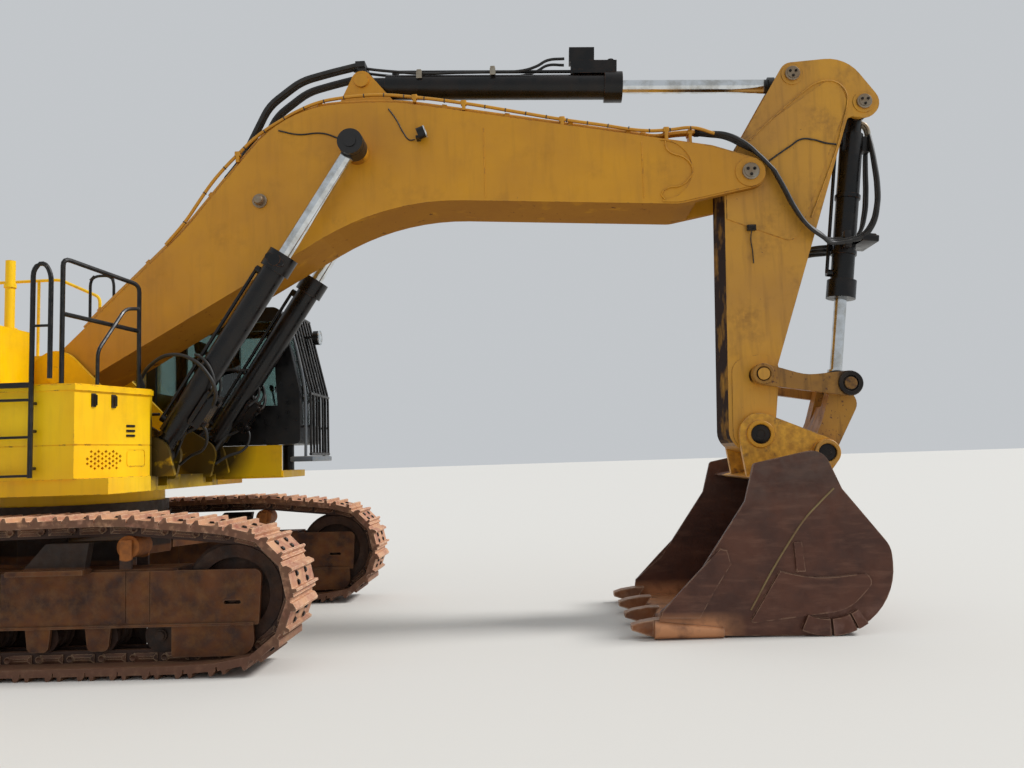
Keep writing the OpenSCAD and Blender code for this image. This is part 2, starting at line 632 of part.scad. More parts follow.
// Ladder rungs: height of the top, thickness
ladder_rungs = [[2440, 45], [2300, 22], [1980, 22], [1650, 22]];
module handrails() color(black) on_axis() {
  // Ladder post with its loop
  tube([[550, post_y, 1620], [550, post_y, 3440], [640, post_y, 3500], [710, post_y, 3390],
      [710, post_y, 2470]], rail_r0);
  for (z = [1700, 2020, 2260]) tube([[550, post_y, z], [550, -box_y - seat, z]], 14);
  tube([[550, post_y, 2930], [710, post_y, 2930]], 12);
  // Ladder: rear post and flat rungs
  tube([[60, post_y, 1620], [60, post_y, 2900], [60, -1640, 2990], [60, -1600, 3200], [60, -1500, 3300]],
      rail_r0);
  for (z = [1700, 2260]) tube([[60, post_y, z], [60, -box_y - seat, z]], 14);
  for (r = ladder_rungs) block([60, 550], [post_y - 18, post_y + 18], [r[0] - r[1], r[0]]);
  // Knee rail inside the walkway's corner, and the plate at the inner leg's foot
  tube([[945, -1380, box_z1 + seat], [945, -1380, 2740], [1030, -1050, 3180], [1080, -880, 3210]], 17);
  side(-886, -874) polygon([[1085, box_z1 + seat], [1150, box_z1 + seat], [1085, box_z1 + 190]]);
  // Grab rail on the left side's cooling house
  tube([[-380, 900, house_z1 - 60 + seat], [-380, 900, 3920], [-330, 900, 3970], [-140, 900, 3970],
      [-95, 900, 3900],
    [-95, 900, house_z1 - 60 + seat]], 17);
  // Outer rail of the walkway
  tube([[720, -1560, box_z1 + seat], [720, -1560, 3560], [1080, -880, 3440], [1080, -880, box_z1 + seat]],
      rail_r0);
  tube([[720, -1560, 3060], [1080, -880, 2990]], rail_r0);
}
module standpipe() color(yellow) on_axis() {
  translate([-250, -800, tank_z1 + seat]) {
    cylinder(r = 45, h = 690);
    translate([0, 0, 420]) cylinder(r = 56, h = 40);
    cylinder(r = 70, h = 18);
  }
}

// Cab: a hollow shell with cut windows
cab_rows = [[cab_x0 + 60, cab_z0 + 60, 60], [cab_x1 - 60, cab_z0 + 60, 60], [cab_x1 - 80, 2500, 80],
  [cab_x1 - 320, cab_z1 - 120, 120], [cab_x0 + 120, cab_z1 - 120, 120]];
cab_door_x = [1050, 1950];
cab_door_z = [1960, 3360];
pillar = 110;
function pane(x0, x1, z0, z1, lean) = [[x0, z0], [x1, z0], [x1 - lean, z1], [x0, z1]];
right_pane = pane(cab_x0 + pillar, cab_x1 - 260, 2350, 3330, 60);
door_hole = pane(cab_door_x[0], cab_door_x[1], cab_door_z[0], cab_door_z[1], 60);
rear_side_pane = pane(cab_x0 + pillar, cab_door_x[0] - 130, 2550, 3330, 0);
module cab_cut(y0, y1, p) side(y0, y1) polygon(p);
module cab_windows(grow) {
  cab_cut(cab_y0 - 10, cab_y0 + cab_wall + 10, right_pane);
  cab_cut(cab_y1 - cab_wall - 10, cab_y1 + 10, rear_side_pane);
  // Rear
  block([cab_x0 - 10, cab_x0 + cab_wall + 10], [cab_y0 + 120, cab_y1 - 120], [2550, 3330]);
  // Front
  block([cab_x1 - 400, cab_x1 + 50], [cab_y0 + 90, cab_y1 - 90], [2120, 3330]);
}
module cab_shell() color(black) on_axis() {
  difference() {
    side(cab_y0, cab_y1) polygon(belt(cab_rows));
    side(cab_y0 + cab_wall, cab_y1 - cab_wall) polygon(belt(inside(cab_rows, cab_wall)));
    cab_windows(0);
    cab_cut(cab_y1 - cab_wall - 10, cab_y1 + 10, door_hole);
  }
  // Mounting feet on the deck
  for (x = [cab_x0 + 150, cab_x1 - 350]) for (y = [cab_y0 + 100, cab_y1 - 200])
    translate([x, y, deck_z1]) cylinder(r = 70, h = cab_z0 - deck_z1 + 5);
  for (z = cab_hinge_z) translate([cab_door_x[0], cab_y1 + 18, z]) hinge_pin();
}
cab_hinge_z = [2150, 3150];
module cab_glass() color("#203038", 0.5) on_axis() {
  cab_cut(cab_y0 + 20, cab_y0 + 20 + glass_t, right_pane);
  cab_cut(cab_y1 - 28, cab_y1 - 28 + glass_t, rear_side_pane);
  block([cab_x0 + 20, cab_x0 + 20 + glass_t], [cab_y0 + 120, cab_y1 - 120], [2550, 3330]);
  // The front pane follows the bent front
  intersection() {
    side(cab_y0 + 90, cab_y1 - 90) difference() {
      polygon(belt(inside(cab_rows, 18)));
      polygon(belt(inside(cab_rows, 18 + glass_t)));
    }
    block([cab_x1 - 400, cab_x1 + 50], [cab_y0, cab_y1], [2120, 3330]);
  }
}
guard_bars = 7;
guard_bar_r = 15;
guard_flat = guard_bar_r - 0.8 + seat;
module cab_guard() color(black) on_axis() {
  for (i = [0:guard_bars - 1]) let (y = cab_y0 + 60 + i * (cab_y1 - cab_y0 - 120) / (guard_bars - 1))
    tube([[cab_x1 + 110, y, 1780], [cab_x1 + 110, y, 2480], [cab_x1 - 120, y, 3440]], guard_bar_r);
  for (p = [[cab_x1 + 110, 1780], [cab_x1 + 110, 2480], [cab_x1 - 120, 3440]])
    tube([[p[0], cab_y0 + 40, p[1]], [p[0], cab_y1 - 40, p[1]]], 18);
  // Brackets, cut off at the cab's outline
  difference() {
    for (y = [cab_y0 + 60, cab_y1 - 60]) {
      tube([[cab_x1 + 110, y, 2100], [cab_x1 - 10, y, 2100]], 14);
      tube([[cab_x1 - 90, y, 3300], [cab_x1 - 215, y, 3300]], 14);
    }
    side(cab_y0, cab_y1) polygon(belt(inside(cab_rows, -seat)));
  }
}
module cab_seat() color(black) on_axis() {
  block([850, 1350], [1000, 1500], [2250, 2400]);
  block([780, 900], [1020, 1480], [2400, 3050]);
  block([900, 1300], [1050, 1450], [cab_z0 + cab_wall + seat, 2250]);
}
module cab_door() color(black) on_axis() {
  difference() {
    cab_cut(cab_y1 - cab_wall, cab_y1 + 4,
      pane(cab_door_x[0] + door_gap, cab_door_x[1] - door_gap, cab_door_z[0] + door_gap,
          cab_door_z[1] - door_gap, 60));
    cab_cut(cab_y1 - cab_wall - 1, cab_y1 + 5, door_pane);
  }
  for (z = cab_hinge_z) translate([cab_door_x[0], cab_y1 + 18, z]) hinge_sleeve(door_leaf);
}
door_pane = pane(cab_door_x[0] + 90, cab_door_x[1] - 90, cab_door_z[0] + 330, cab_door_z[1] - 90, 45);
module cab_door_glass() color("#203038", 0.5) on_axis()
    cab_cut(cab_y1 - 28, cab_y1 - 28 + glass_t, door_pane);
module cab_lamp() color(black) on_axis() {
  translate([cab_x1 + 60, cab_y0 + 420, 3180]) rotate([0, 90, 0]) cylinder(r = 85, h = 70);
  block([cab_x1 - 70, cab_x1 + 62], [cab_y0 + 320 + guard_flat, cab_y0 + 450 - guard_flat], [3170, 3190]);
}

// Boom
boom_rows = [at(FOOT, 0, 0, 180), at(LIFT, 926, -3183, -2650), at(TIP, -740, 5, 300), at(TIP, 0, 0, 160),
  at(TIP, -420, 105, 200), at(LIFT, 103, -2458, 3000), at(LIFT, -181, -661, 1200),
      at(LIFT, -3991, 1331, -3000)];
fork_cut = [[TIP[0] - 1040, TIP[1] + 530], [TIP[0] - 510, TIP[1] + 10], [TIP[0] - 560, TIP[1] - 420],
  [TIP[0] + 300, TIP[1] - 420], [TIP[0] + 300, TIP[1] + 530]];
crowd_ear_y = [115, 175];
tip_solid = 1050;
boss_out = lift_y - lift_eye_half - slide;
module boom() color(yellow) on_axis() difference() {
  union() {
    difference() {
      side(-boom_half_w, boom_half_w) polygon(belt(boom_rows));
      intersection() {
        side(-boom_half_w + boom_plate, boom_half_w - boom_plate)
            polygon(belt(inside(boom_rows, boom_plate)));
        block([FOOT[0] - foot_boss, TIP[0] - tip_solid], [-boom_half_w, boom_half_w], [0, CROWD[1]]);
      }
      side(-fork_half, fork_half) polygon(fork_cut);
    }
    across(FOOT, 178, -boom_half_w, boom_half_w);
    across(FOOT, 150, -bracket_y + slide, bracket_y - slide);
    both() side(crowd_ear_y[0], crowd_ear_y[1]) polygon(belt([at(CROWD, 0, 0, 110),
        at(CROWD, -330, -470, 20), at(CROWD, 480, -440, 20)]));
    across(CROWD, pin_r, -crowd_ear_y[1] - 25, crowd_ear_y[1] + 25);
    across(TIP, pin_r, -boom_half_w - 30, boom_half_w + 30);
    both() across(TIP, 150, boom_half_w - 1, boom_half_w + 20);
    // Tip casting, proud of the side plates behind it
    both() side(boom_half_w - 1, boom_half_w + 10) difference() {
      intersection() {
        polygon(belt(inside(boom_rows, 16)));
        translate([TIP[0] - 890, TIP[1] - 600]) square([1400, 1400]);
      }
      translate([TIP[0] - 890, TIP[1] + 60]) circle(r = 310);
    }
  }
  across(FOOT, pin_r + 10 + run, -600, 600);
  across(LIFT, pin_r + run, -600, 600);
}
// The pin that carries the lift cylinders, with a boss on each side of the boom
module lift_pin() color(yellow) on_axis() {
  across(LIFT, pin_r, -boss_out, boss_out);
  both() across(LIFT, 118, boom_half_w, boss_out);
}
// Hard pipes along the boom's top: an outer pair from tip to foot, an inner pair that ends in hoses
pipe_r = 22;
pipe_off = 45;
inner_off = 122;
pipe_rows = inside(boom_rows, -pipe_off);
function last(v) = v[len(v) - 1];
// The straight edge of an outline that leads to one of its circles, and a point on it
function edge(rows, i) = [last(arc(rows, (i + len(rows) - 1) % len(rows))), arc(rows, i)[0]];
function on_edge(rows, i, f) = let (e = edge(rows, i)) e[0] + f * (e[1] - e[0]);
outer_path = concat([on_edge(pipe_rows, 5, 0.23)], [for (i = [5:7]) each arc(pipe_rows, i)],
    [on_edge(pipe_rows, 0, 0.72)]);
inner_rows = inside(boom_rows, -inner_off);
inner_path = concat([on_edge(inner_rows, 7, 0.45)], arc(inner_rows, 7), [on_edge(inner_rows, 0, 0.7)]);
outer_y = [-300, -235, 235, 300];
inner_y = [-165, -105, 105, 165];
// Clamps: edge of the boom's outline, place along it
clamps = [[5, 0.28], [5, 0.48], [5, 0.7], [5, 0.92], [7, 0.7], [0, 0.2], [0, 0.6]];
module clamp_block(h, y) both() block([seat, h], y, [-25, 25]);
module boom_pipes() color(yellow) on_axis() {
  for (y = outer_y) sweep([for (p = outer_path) [p[0], y, p[1]]], pipe_r, [0, 1, 0]);
  for (y = inner_y) sweep([for (p = inner_path) [p[0], y, p[1]]], pipe_r + 3, [0, 1, 0]);
  for (c = clamps) let (e = edge(boom_rows, c[0]), p = on_edge(boom_rows, c[0], c[1]))
    translate([p[0], 0, p[1]]) rotate([0, 90 - heading(e[0], e[1]), 0]) {
      clamp_block(pipe_off + 20, [205, 330]);
      if (c[0] != 5) clamp_block(inner_off + 20, [80, 206]);
    }
  for (a = [100, 128]) let (c = boom_rows[6]) translate([c[0], 0, c[1]]) rotate([0, -a, 0])
    translate([c[2], 0, 0]) clamp_block(pipe_off + 20, [205, 330]);
}
// Hoses from the inner pipes to the manifold over the stick cylinder's foot
manifold_z = crowd_z + 150;
module boom_hoses() color(black) on_axis() {
  for (y = inner_y) let (a = inner_path[0], u = unit(inner_path[0] - inner_path[1]), b = a + seat * u,
      c = a + 250 * u)
    tube([[b[0], y, b[1]], [c[0], y, c[1]], [2120, y, 5500], [2470, y, 5760], [2800, y, 5840],
      [crowd_x - 60, y, manifold_z + 25]], 28, [0, 1, 0], 120);
  block([crowd_x - 62, crowd_x + 40], [-195, 195], [manifold_z, manifold_z + 60]);
  both() block([crowd_x - 40, crowd_x + 40], [crowd_ear_y[0] + 2, crowd_ear_y[1] - 2],
      [crowd_z + 111, manifold_z + 1]);
}
module boom_lamp() color(black) on_axis() {
  translate([3760, -boom_half_w - 100, 4980]) rotate([0, 70, 0]) cylinder(r = 60, h = 80);
  translate([3740, -boom_half_w - 101, 4940]) cube([40, 101 - seat, 30]);
}

// Cylinders: a barrel with its foot eye and gland, and a rod with its eye
module barrel(l, r, rod_r, eye_r, eye_half, pin) difference() {
  union() {
    rotate([90, 0, 0]) cylinder(r = eye_r, h = 2 * eye_half, center = true);
    intersection() {
      along(r * 0.8, 60, 200);
      block([0, 300], [5 - eye_half, eye_half - 5], [-r, r]);
    }
    along(r * 0.8, 190, 260);
    along(r, 240, l - 150);
    along(r + 32, l - 190, l);
    // Oil ports and the hard pipe along the barrel
    translate([330, 0, r - 10]) cylinder(r = 38, h = 60);
    translate([l - 260, 0, r - 10]) cylinder(r = 38, h = 60);
    translate([0, 0, r + 45]) along(18, 330, l - 260);
  }
  rotate([90, 0, 0]) cylinder(r = pin + run, h = 2 * eye_half + 10, center = true);
  along(rod_r + run, 400, l + 10);
}
// Round port cover and stepped flange on a gland, at the outer side
module port_cover(l, r, out) {
  for (s = [-1, 1]) translate([l - 95, out * (r + 8), s * 62]) rotate([90, 0, 0])
      cylinder(r = 40, h = 60, center = true);
  translate([l - 95, out * (r + 14), 0]) rotate([90, 0, 0]) cylinder(r = 62, h = 60, center = true);
}
// Valve block on a barrel: places along it, and height over it
module valve_block(r, x0, x1, h) {
  block([x0, x1], [-75, 75], [r - 12, r + h]);
  for (x = [x0 + 60, x1 - 60]) translate([x, 0, r + h - 5]) cylinder(r = 34, h = 40);
  block([x0 + 30, x1 - 30], [-95, 95], [r - 12, r + 30]);
}
module rod(l, r, start, eye_r, eye_half, collar = 60) {
  along(r, start, l - 40);
  if (collar > 0) along(r + 22, l - eye_r - collar, l - eye_r + 5);
  translate([l, 0, 0]) rotate([90, 0, 0]) cylinder(r = eye_r, h = 2 * eye_half, center = true);
}
lift_l = reach(LIFT_FOOT, LIFT);
crowd_l = reach(CROWD, HEAD);
curl_l = reach(BACK, LINK);
module lift_cylinder_barrels() color(black) on_axis() for (s = [-1, 1])
  translate([0, s * lift_y, 0]) between(LIFT_FOOT, LIFT) {
    barrel(lift_barrel_l, lift_barrel_r, lift_rod_r, 135, lift_eye_half, lift_pin_r);
    mirror([0, 0, 1]) difference() {
      valve_block(lift_barrel_r, 430, 800, 110);
      along(lift_rod_r + run, 400, 900);
    }
    difference() {
      port_cover(lift_barrel_l, lift_barrel_r, s);
      along(lift_rod_r + run, 400, lift_barrel_l + 10);
    }
  }
module lift_cylinder_rods() color(steel) on_axis() both() translate([0, lift_y, 0]) between(LIFT_FOOT, LIFT) {
  rod(lift_l, lift_rod_r, 1600, 130, lift_eye_half, 0);
  translate([lift_l, 150, 0]) rotate([90, 0, 0]) cylinder(r = 128, h = 75);
  translate([lift_l, 162, 0]) rotate([90, 0, 0]) cylinder(r = 60, h = 20);
}
module stick_cylinder_barrel() color(black) on_axis() between(CROWD, HEAD) {
  barrel(crowd_barrel_l, crowd_barrel_r, crowd_rod_r, 125, crowd_ear_y[0] - slide, pin_r);
  difference() {
    union() {
      valve_block(crowd_barrel_r, crowd_barrel_l - 550, crowd_barrel_l - 60, 140);
      block([crowd_barrel_l - 570, crowd_barrel_l - 300], [-60, 60],
          [crowd_barrel_r + 130, crowd_barrel_r + 290]);
    }
    along(crowd_rod_r + run, 400, crowd_barrel_l + 10);
  }
}
module stick_cylinder_rod() color(steel) on_axis() between(CROWD, HEAD)
    rod(crowd_l, crowd_rod_r, 2000, 120, 110);
module bucket_cylinder_barrel() color(black) on_axis() between(BACK, LINK) {
  mirror([0, 0, 1]) barrel(curl_barrel_l, curl_barrel_r, curl_rod_r, 120, 110, pin_r);
  // Port block at the foot end, and two clamps on the barrel
  difference() {
    union() {
      block([260, 420], [-50, 50], [curl_barrel_r - 10, curl_barrel_r + 70]);
      for (x = [900, 1500]) along(curl_barrel_r + 14, x, x + 40);
    }
    along(curl_rod_r + run, 400, 1700);
  }
}
module bucket_cylinder_rod() color(steel) on_axis() between(BACK, LINK)
    rod(curl_l, curl_rod_r, 1020, 110, 110);

// Stick
stick_rows = [at(HEAD, 0, 0, 130), at(TIP, 0, 0, 240), at(BUCKET, -90, 40, 200), at(BUCKET, 0, 0, 150),
  at(GUIDE, 520, -180, -400), at(BACK, -125, -205, -60), at(BACK, 0, 0, 160), at(BACK, -350, 80, 400)];
// Raised plates: over the head, and round the tip
head_proud = 10;
head_plate_rows = [at(TIP, -170, -120, 330), at(TIP, 380, -570, 120), at(BACK, -280, 10, 110),
    at(BACK, -320, 140, 110)];
tip_plate_rows = [at(BUCKET, -60, 20, 190), at(BUCKET, 30, -10, 130), at(GUIDE, 30, 40, 170),
    at(GUIDE, -120, 30, 150)];
head_gap = [at(TIP, -300, 480, 0), at(TIP, 400, 470, 0), at(BACK, -265, -355, 0), at(BACK, 300, -530, 0),
  at(BACK, 300, 800, 0), at(TIP, -300, 1500, 0)];
link_in = ear_y + ear_t + 10;
link_t = 70;
fork_in = 125;
link_pin_r = 60;
module stick() color(yellow) on_axis() difference() {
  union() {
    difference() {
      union() {
        side(-stick_half_w + head_proud, stick_half_w - head_proud) polygon(belt(stick_rows));
        side(-stick_half_w, stick_half_w) intersection() {
          polygon(belt(inside(stick_rows, 20)));
          polygon(belt(head_plate_rows));
        }
        side(-stick_half_w, stick_half_w) polygon(belt(tip_plate_rows));
      }
      side(-stick_half_w + stick_plate + 10, stick_half_w - stick_plate - 10)
          polygon([for (c = head_gap) [c[0], c[1]]]);
      intersection() {
        side(-stick_half_w + stick_plate, stick_half_w - stick_plate)
            polygon(belt(inside(stick_rows, stick_plate)));
        block([BUCKET[0] - 1000, BACK[0] + 600], [-stick_half_w, stick_half_w],
            [BUCKET[1] + 260, TIP[1] + 380]);
      }
    }
    both() across(HEAD, 110, 112, stick_half_w);
    both() across(BACK, 110, 112, stick_half_w);
    across(BACK, pin_r, -stick_half_w - 12, stick_half_w + 12);
    both() across(HEAD, pin_r, 112, stick_half_w + 12);
    across(TIP, 200, -stick_half_w, stick_half_w);
    across(GUIDE, link_pin_r, -link_in - link_t - 30, link_in + link_t + 30);
    across(GUIDE, 105, -link_in + slide, link_in - slide);
    across(BUCKET, 99.9, -ear_y - ear_t, ear_y + ear_t);
  }
  across(TIP, pin_r + run, -500, 500);
}
module guide_links() color(yellow) on_axis() both() {
  difference() {
    side(link_in, link_in + link_t) polygon(belt([at(GUIDE, 0, 0, 105), at(LINK, 0, 0, 125),
        at(LINK, -360, 600, -500)]));
    across(GUIDE, link_pin_r + run, 0, 600);
  }
  across(LINK, link_pin_r, fork_in + 5, link_in + link_t + 25);
}
module power_link() color(yellow) on_axis() difference() {
  union() {
    side(-285, 285) polygon(belt([at(EAR, 0, 0, 115), at(LINK, -20, -190, 130)]));
    both() side(fork_in, 285) polygon(belt([at(EAR, 90, 200, 100), at(LINK, 0, 0, 125)]));
  }
  across(LINK, link_pin_r + run, -400, 400);
  side(-115, 115) polygon(belt([at(LINK, -10, -40, 225), at(LINK, -10, 260, 225)]));
}

// Bucket: shell, side plates with their own outline, ears and tubes
heel_r = 603;
heel = [7420, heel_r];
back_heel = [7780, 680];
shell_back = [at(heel, 0, 0, heel_r), at(back_heel, 0, 0, 240), at(back_heel, -230, 600, 60),
    at(back_heel, -380, 720, 70)];
shell_rows = concat([[5935, 42, 10]], shell_back, [[6930, 1400, 20], [6880, 1390, 10]]);
void_rows = concat([[5700, 160, 60], [6100, 130, 50]], inside(shell_back, bucket_shell),
    [[6930, 1400, 20 - bucket_shell], [6400, 1600, 10], [5800, 1300, 20]]);
cheek_rows = [[5935, 60, 30], at(heel, 0, 0, heel_r), at(back_heel, 0, 0, 240), [7885, 1293, -250],
  [7360, 1480, 165], [6865, 1510, 40], [5840, 1330, -900], [5950, 230, 20]];
wear_t = 22;
crescent_rows = [[6760, 150, 20], at(heel, 0, 0, 400), [7745, 465, 70], [7420, 1700, -1190], [7015, 570, 5]];
side_cutter = [[5930, 190], [6280, 180], [6430, 430], [6580, 650], [6550, 770], [6490, 790], [6440, 740],
  [6200, 505], [5950, 250]];
wedge = [[7160, 570], [7240, 570], [7220, 830], [7150, 830]];
// Shrouds round the heel's corner: angle from the heel's centre, half width
shrouds = [[-102, 12.5], [-77, 10], [-60.5, 4.5]];
// Rounded end of the lip: start, radii and length
lip_end_x = 5870;
lip_end_r = [80, 45];
lip_end_l = 620;
module wear_parts() {
  intersection() {
    polygon(belt(inside(cheek_rows, 24)));
    polygon(belt(crescent_rows));
  }
  polygon(side_cutter);
  polygon(wedge);
}
module lip_ends(grow, past) both() translate([lip_end_x, bucket_half_w - 5, lip_end_r[0] + 4])
  rotate([0, 90 + asin((lip_end_r[0] - lip_end_r[1]) / lip_end_l), 0]) translate([0, 0, -past])
    cylinder(r1 = lip_end_r[0] + grow, r2 = lip_end_r[1] + grow, h = lip_end_l + past);
module bucket() color(bucket_brown) on_axis() {
  difference() {
    union() {
      both() side(bucket_half_w - 1, bucket_half_w + wear_t) wear_parts();
      both() side(bucket_half_w - 1, bucket_half_w + 2 * wear_t) intersection() {
        difference() {
          translate(heel) circle(r = heel_r - 4);
          translate(heel) circle(r = heel_r - 150);
        }
        for (c = shrouds) translate(heel) polygon([[0, 0], 900 * [cos(c[0] - c[1]), sin(c[0] - c[1])],
            900 * [cos(c[0] + c[1]), sin(c[0] + c[1])]]);
      }
      side(-bucket_half_w, bucket_half_w) polygon(belt(shell_rows));
      both() side(bucket_half_w - bucket_side, bucket_half_w) polygon(belt(cheek_rows));
      both() side(ear_y, ear_y + ear_t) polygon(belt([at(BUCKET, 0, 0, 210), at(BUCKET, -120, -440, 30),
          at(EAR, -100, -320, 30), at(EAR, 0, 0, 150)]));
      both() across(BUCKET, 140, ear_y, ear_y + ear_t + 4);
      both() across(EAR, 130, ear_y, ear_y + 120);
      lip_ends(0, 0);
    }
    side(-bucket_half_w + bucket_side, bucket_half_w - bucket_side) polygon(belt(void_rows));
    across(BUCKET, 100, -600, 600);
  }
}
tooth_w = 120;
module bucket_teeth() color(bucket_brown) on_axis() for (i = [0:teeth - 1])
  let (y = -bucket_half_w + 90 + i * (2 * bucket_half_w - 180) / (teeth - 1)) difference() {
    side(y - tooth_w / 2, y + tooth_w / 2) polygon([[5672, 78], [5672, 122], [5760, 150],
        [5900, 170], [6000, 172], [6260, 150], [6260, 10], [5900, 5], [5800, 35]]);
    lip_ends(0.5, 1);
    side(-bucket_half_w - 10, bucket_half_w + 10) polygon(belt(shell_rows));
    both() side(bucket_half_w - bucket_side - seat, bucket_half_w + 10) polygon(belt(cheek_rows));
  }

carbody();
track_frame_right();
track_frame_left();
track_right();
track_left();
idlers();
sprockets();
track_rollers();
carrier_rollers();
slew_ring();
revolving_frame();
counterweight();
engine_block();
engine_house();
radiator_door();
pump_door();
hood_lid();
cooling_house();
fuel_tank();
tool_box();
handrails();
standpipe();
cab_shell();
cab_glass();
cab_guard();
cab_seat();
cab_door();
cab_door_glass();
cab_lamp();
boom();
lift_pin();
boom_pipes();
boom_hoses();
boom_lamp();
lift_cylinder_barrels();
lift_cylinder_rods();
stick_cylinder_barrel();
stick_cylinder_rod();
stick();
bucket_cylinder_barrel();
bucket_cylinder_rod();
guide_links();
power_link();
bucket();
bucket_teeth();
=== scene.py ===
"""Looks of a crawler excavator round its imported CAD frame.

Metres; +X forward, +Y the operator's left, +Z up.
"""

import json
import math

import bpy
from bpy.props import FloatProperty, FloatVectorProperty, PointerProperty
from mathutils import Matrix, Vector


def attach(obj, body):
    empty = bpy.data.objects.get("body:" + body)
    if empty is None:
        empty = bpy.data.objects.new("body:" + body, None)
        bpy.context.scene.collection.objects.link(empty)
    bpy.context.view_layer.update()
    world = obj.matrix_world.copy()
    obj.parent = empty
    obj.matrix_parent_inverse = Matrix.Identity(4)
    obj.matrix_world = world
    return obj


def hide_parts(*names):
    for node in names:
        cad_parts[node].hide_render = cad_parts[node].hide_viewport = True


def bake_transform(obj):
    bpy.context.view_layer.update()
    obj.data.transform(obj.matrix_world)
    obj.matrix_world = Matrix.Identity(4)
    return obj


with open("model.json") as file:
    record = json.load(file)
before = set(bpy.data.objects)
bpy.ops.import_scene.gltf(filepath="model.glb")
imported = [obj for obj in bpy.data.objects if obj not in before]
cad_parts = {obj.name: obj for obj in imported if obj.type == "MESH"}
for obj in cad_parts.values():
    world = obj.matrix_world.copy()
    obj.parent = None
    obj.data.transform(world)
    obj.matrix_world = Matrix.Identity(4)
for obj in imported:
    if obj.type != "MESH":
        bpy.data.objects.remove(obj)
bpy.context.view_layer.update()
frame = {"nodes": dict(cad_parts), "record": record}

bl_info = {
    "name": "Crawler excavator",
    "version": (1, 0, 0),
    "blender": (4, 5, 0),
    "location": "View3D > Sidebar > Excavator",
    "description": "Finishes and small pieces of a crawler excavator round its CAD frame",
    "category": "Object",
}

AXIS_X = -2.245  # the slewing axis, from the shared origin
UP = (0, 0, 1)
BOTH_WALLS = ((0, 1, 0), (0, -1, 0))
SIDES = ((-1, "right"), (1, "left"))

# Track chain, for the places of the shoes

TRACK_Y = 1.705
WHEEL_X, WHEEL_Z, PITCH_R = 2.35, 0.62, 0.47
CARRIER_X, CARRIER_Z, CARRIER_R = 1.46, 1.025, 0.095
SHOES = 47
# Circles that the chain's pitch line runs round, anticlockwise: x, z, radius (negative bends the other way)
CHAIN = (
    (-WHEEL_X, WHEEL_Z, PITCH_R),
    (-WHEEL_X + 0.4, 0.3, 0.175),
    (WHEEL_X - 0.4, 0.3, 0.175),
    (WHEEL_X, WHEEL_Z, PITCH_R),
    (CARRIER_X, CARRIER_Z, CARRIER_R + 0.065),
    (0.0, 4.17, -3.0),
    (-CARRIER_X, CARRIER_Z, CARRIER_R + 0.065),
)
# Above this height the track frame and the carbody's legs go near-black: black paint on the frame's step,
# painted shade on the carbody and the frame's other upper parts
FRAME_TOP = 0.875
# Rod eyes: X from the slewing axis, Z, radius
ROD_EYES = ((3.12, 4.84, 0.15), (7.63, 5.52, 0.235), (7.96, 2.29, 0.17))


# Colours and nodes


def linear(hex_colour):
    """An sRGB hex colour as the linear colour that Blender's sockets take."""
    parts = [int(hex_colour[i : i + 2], 16) / 255 for i in (1, 3, 5)]
    return (*(c / 12.92 if c <= 0.04045 else ((c + 0.055) / 1.055) ** 2.4 for c in parts), 1.0)


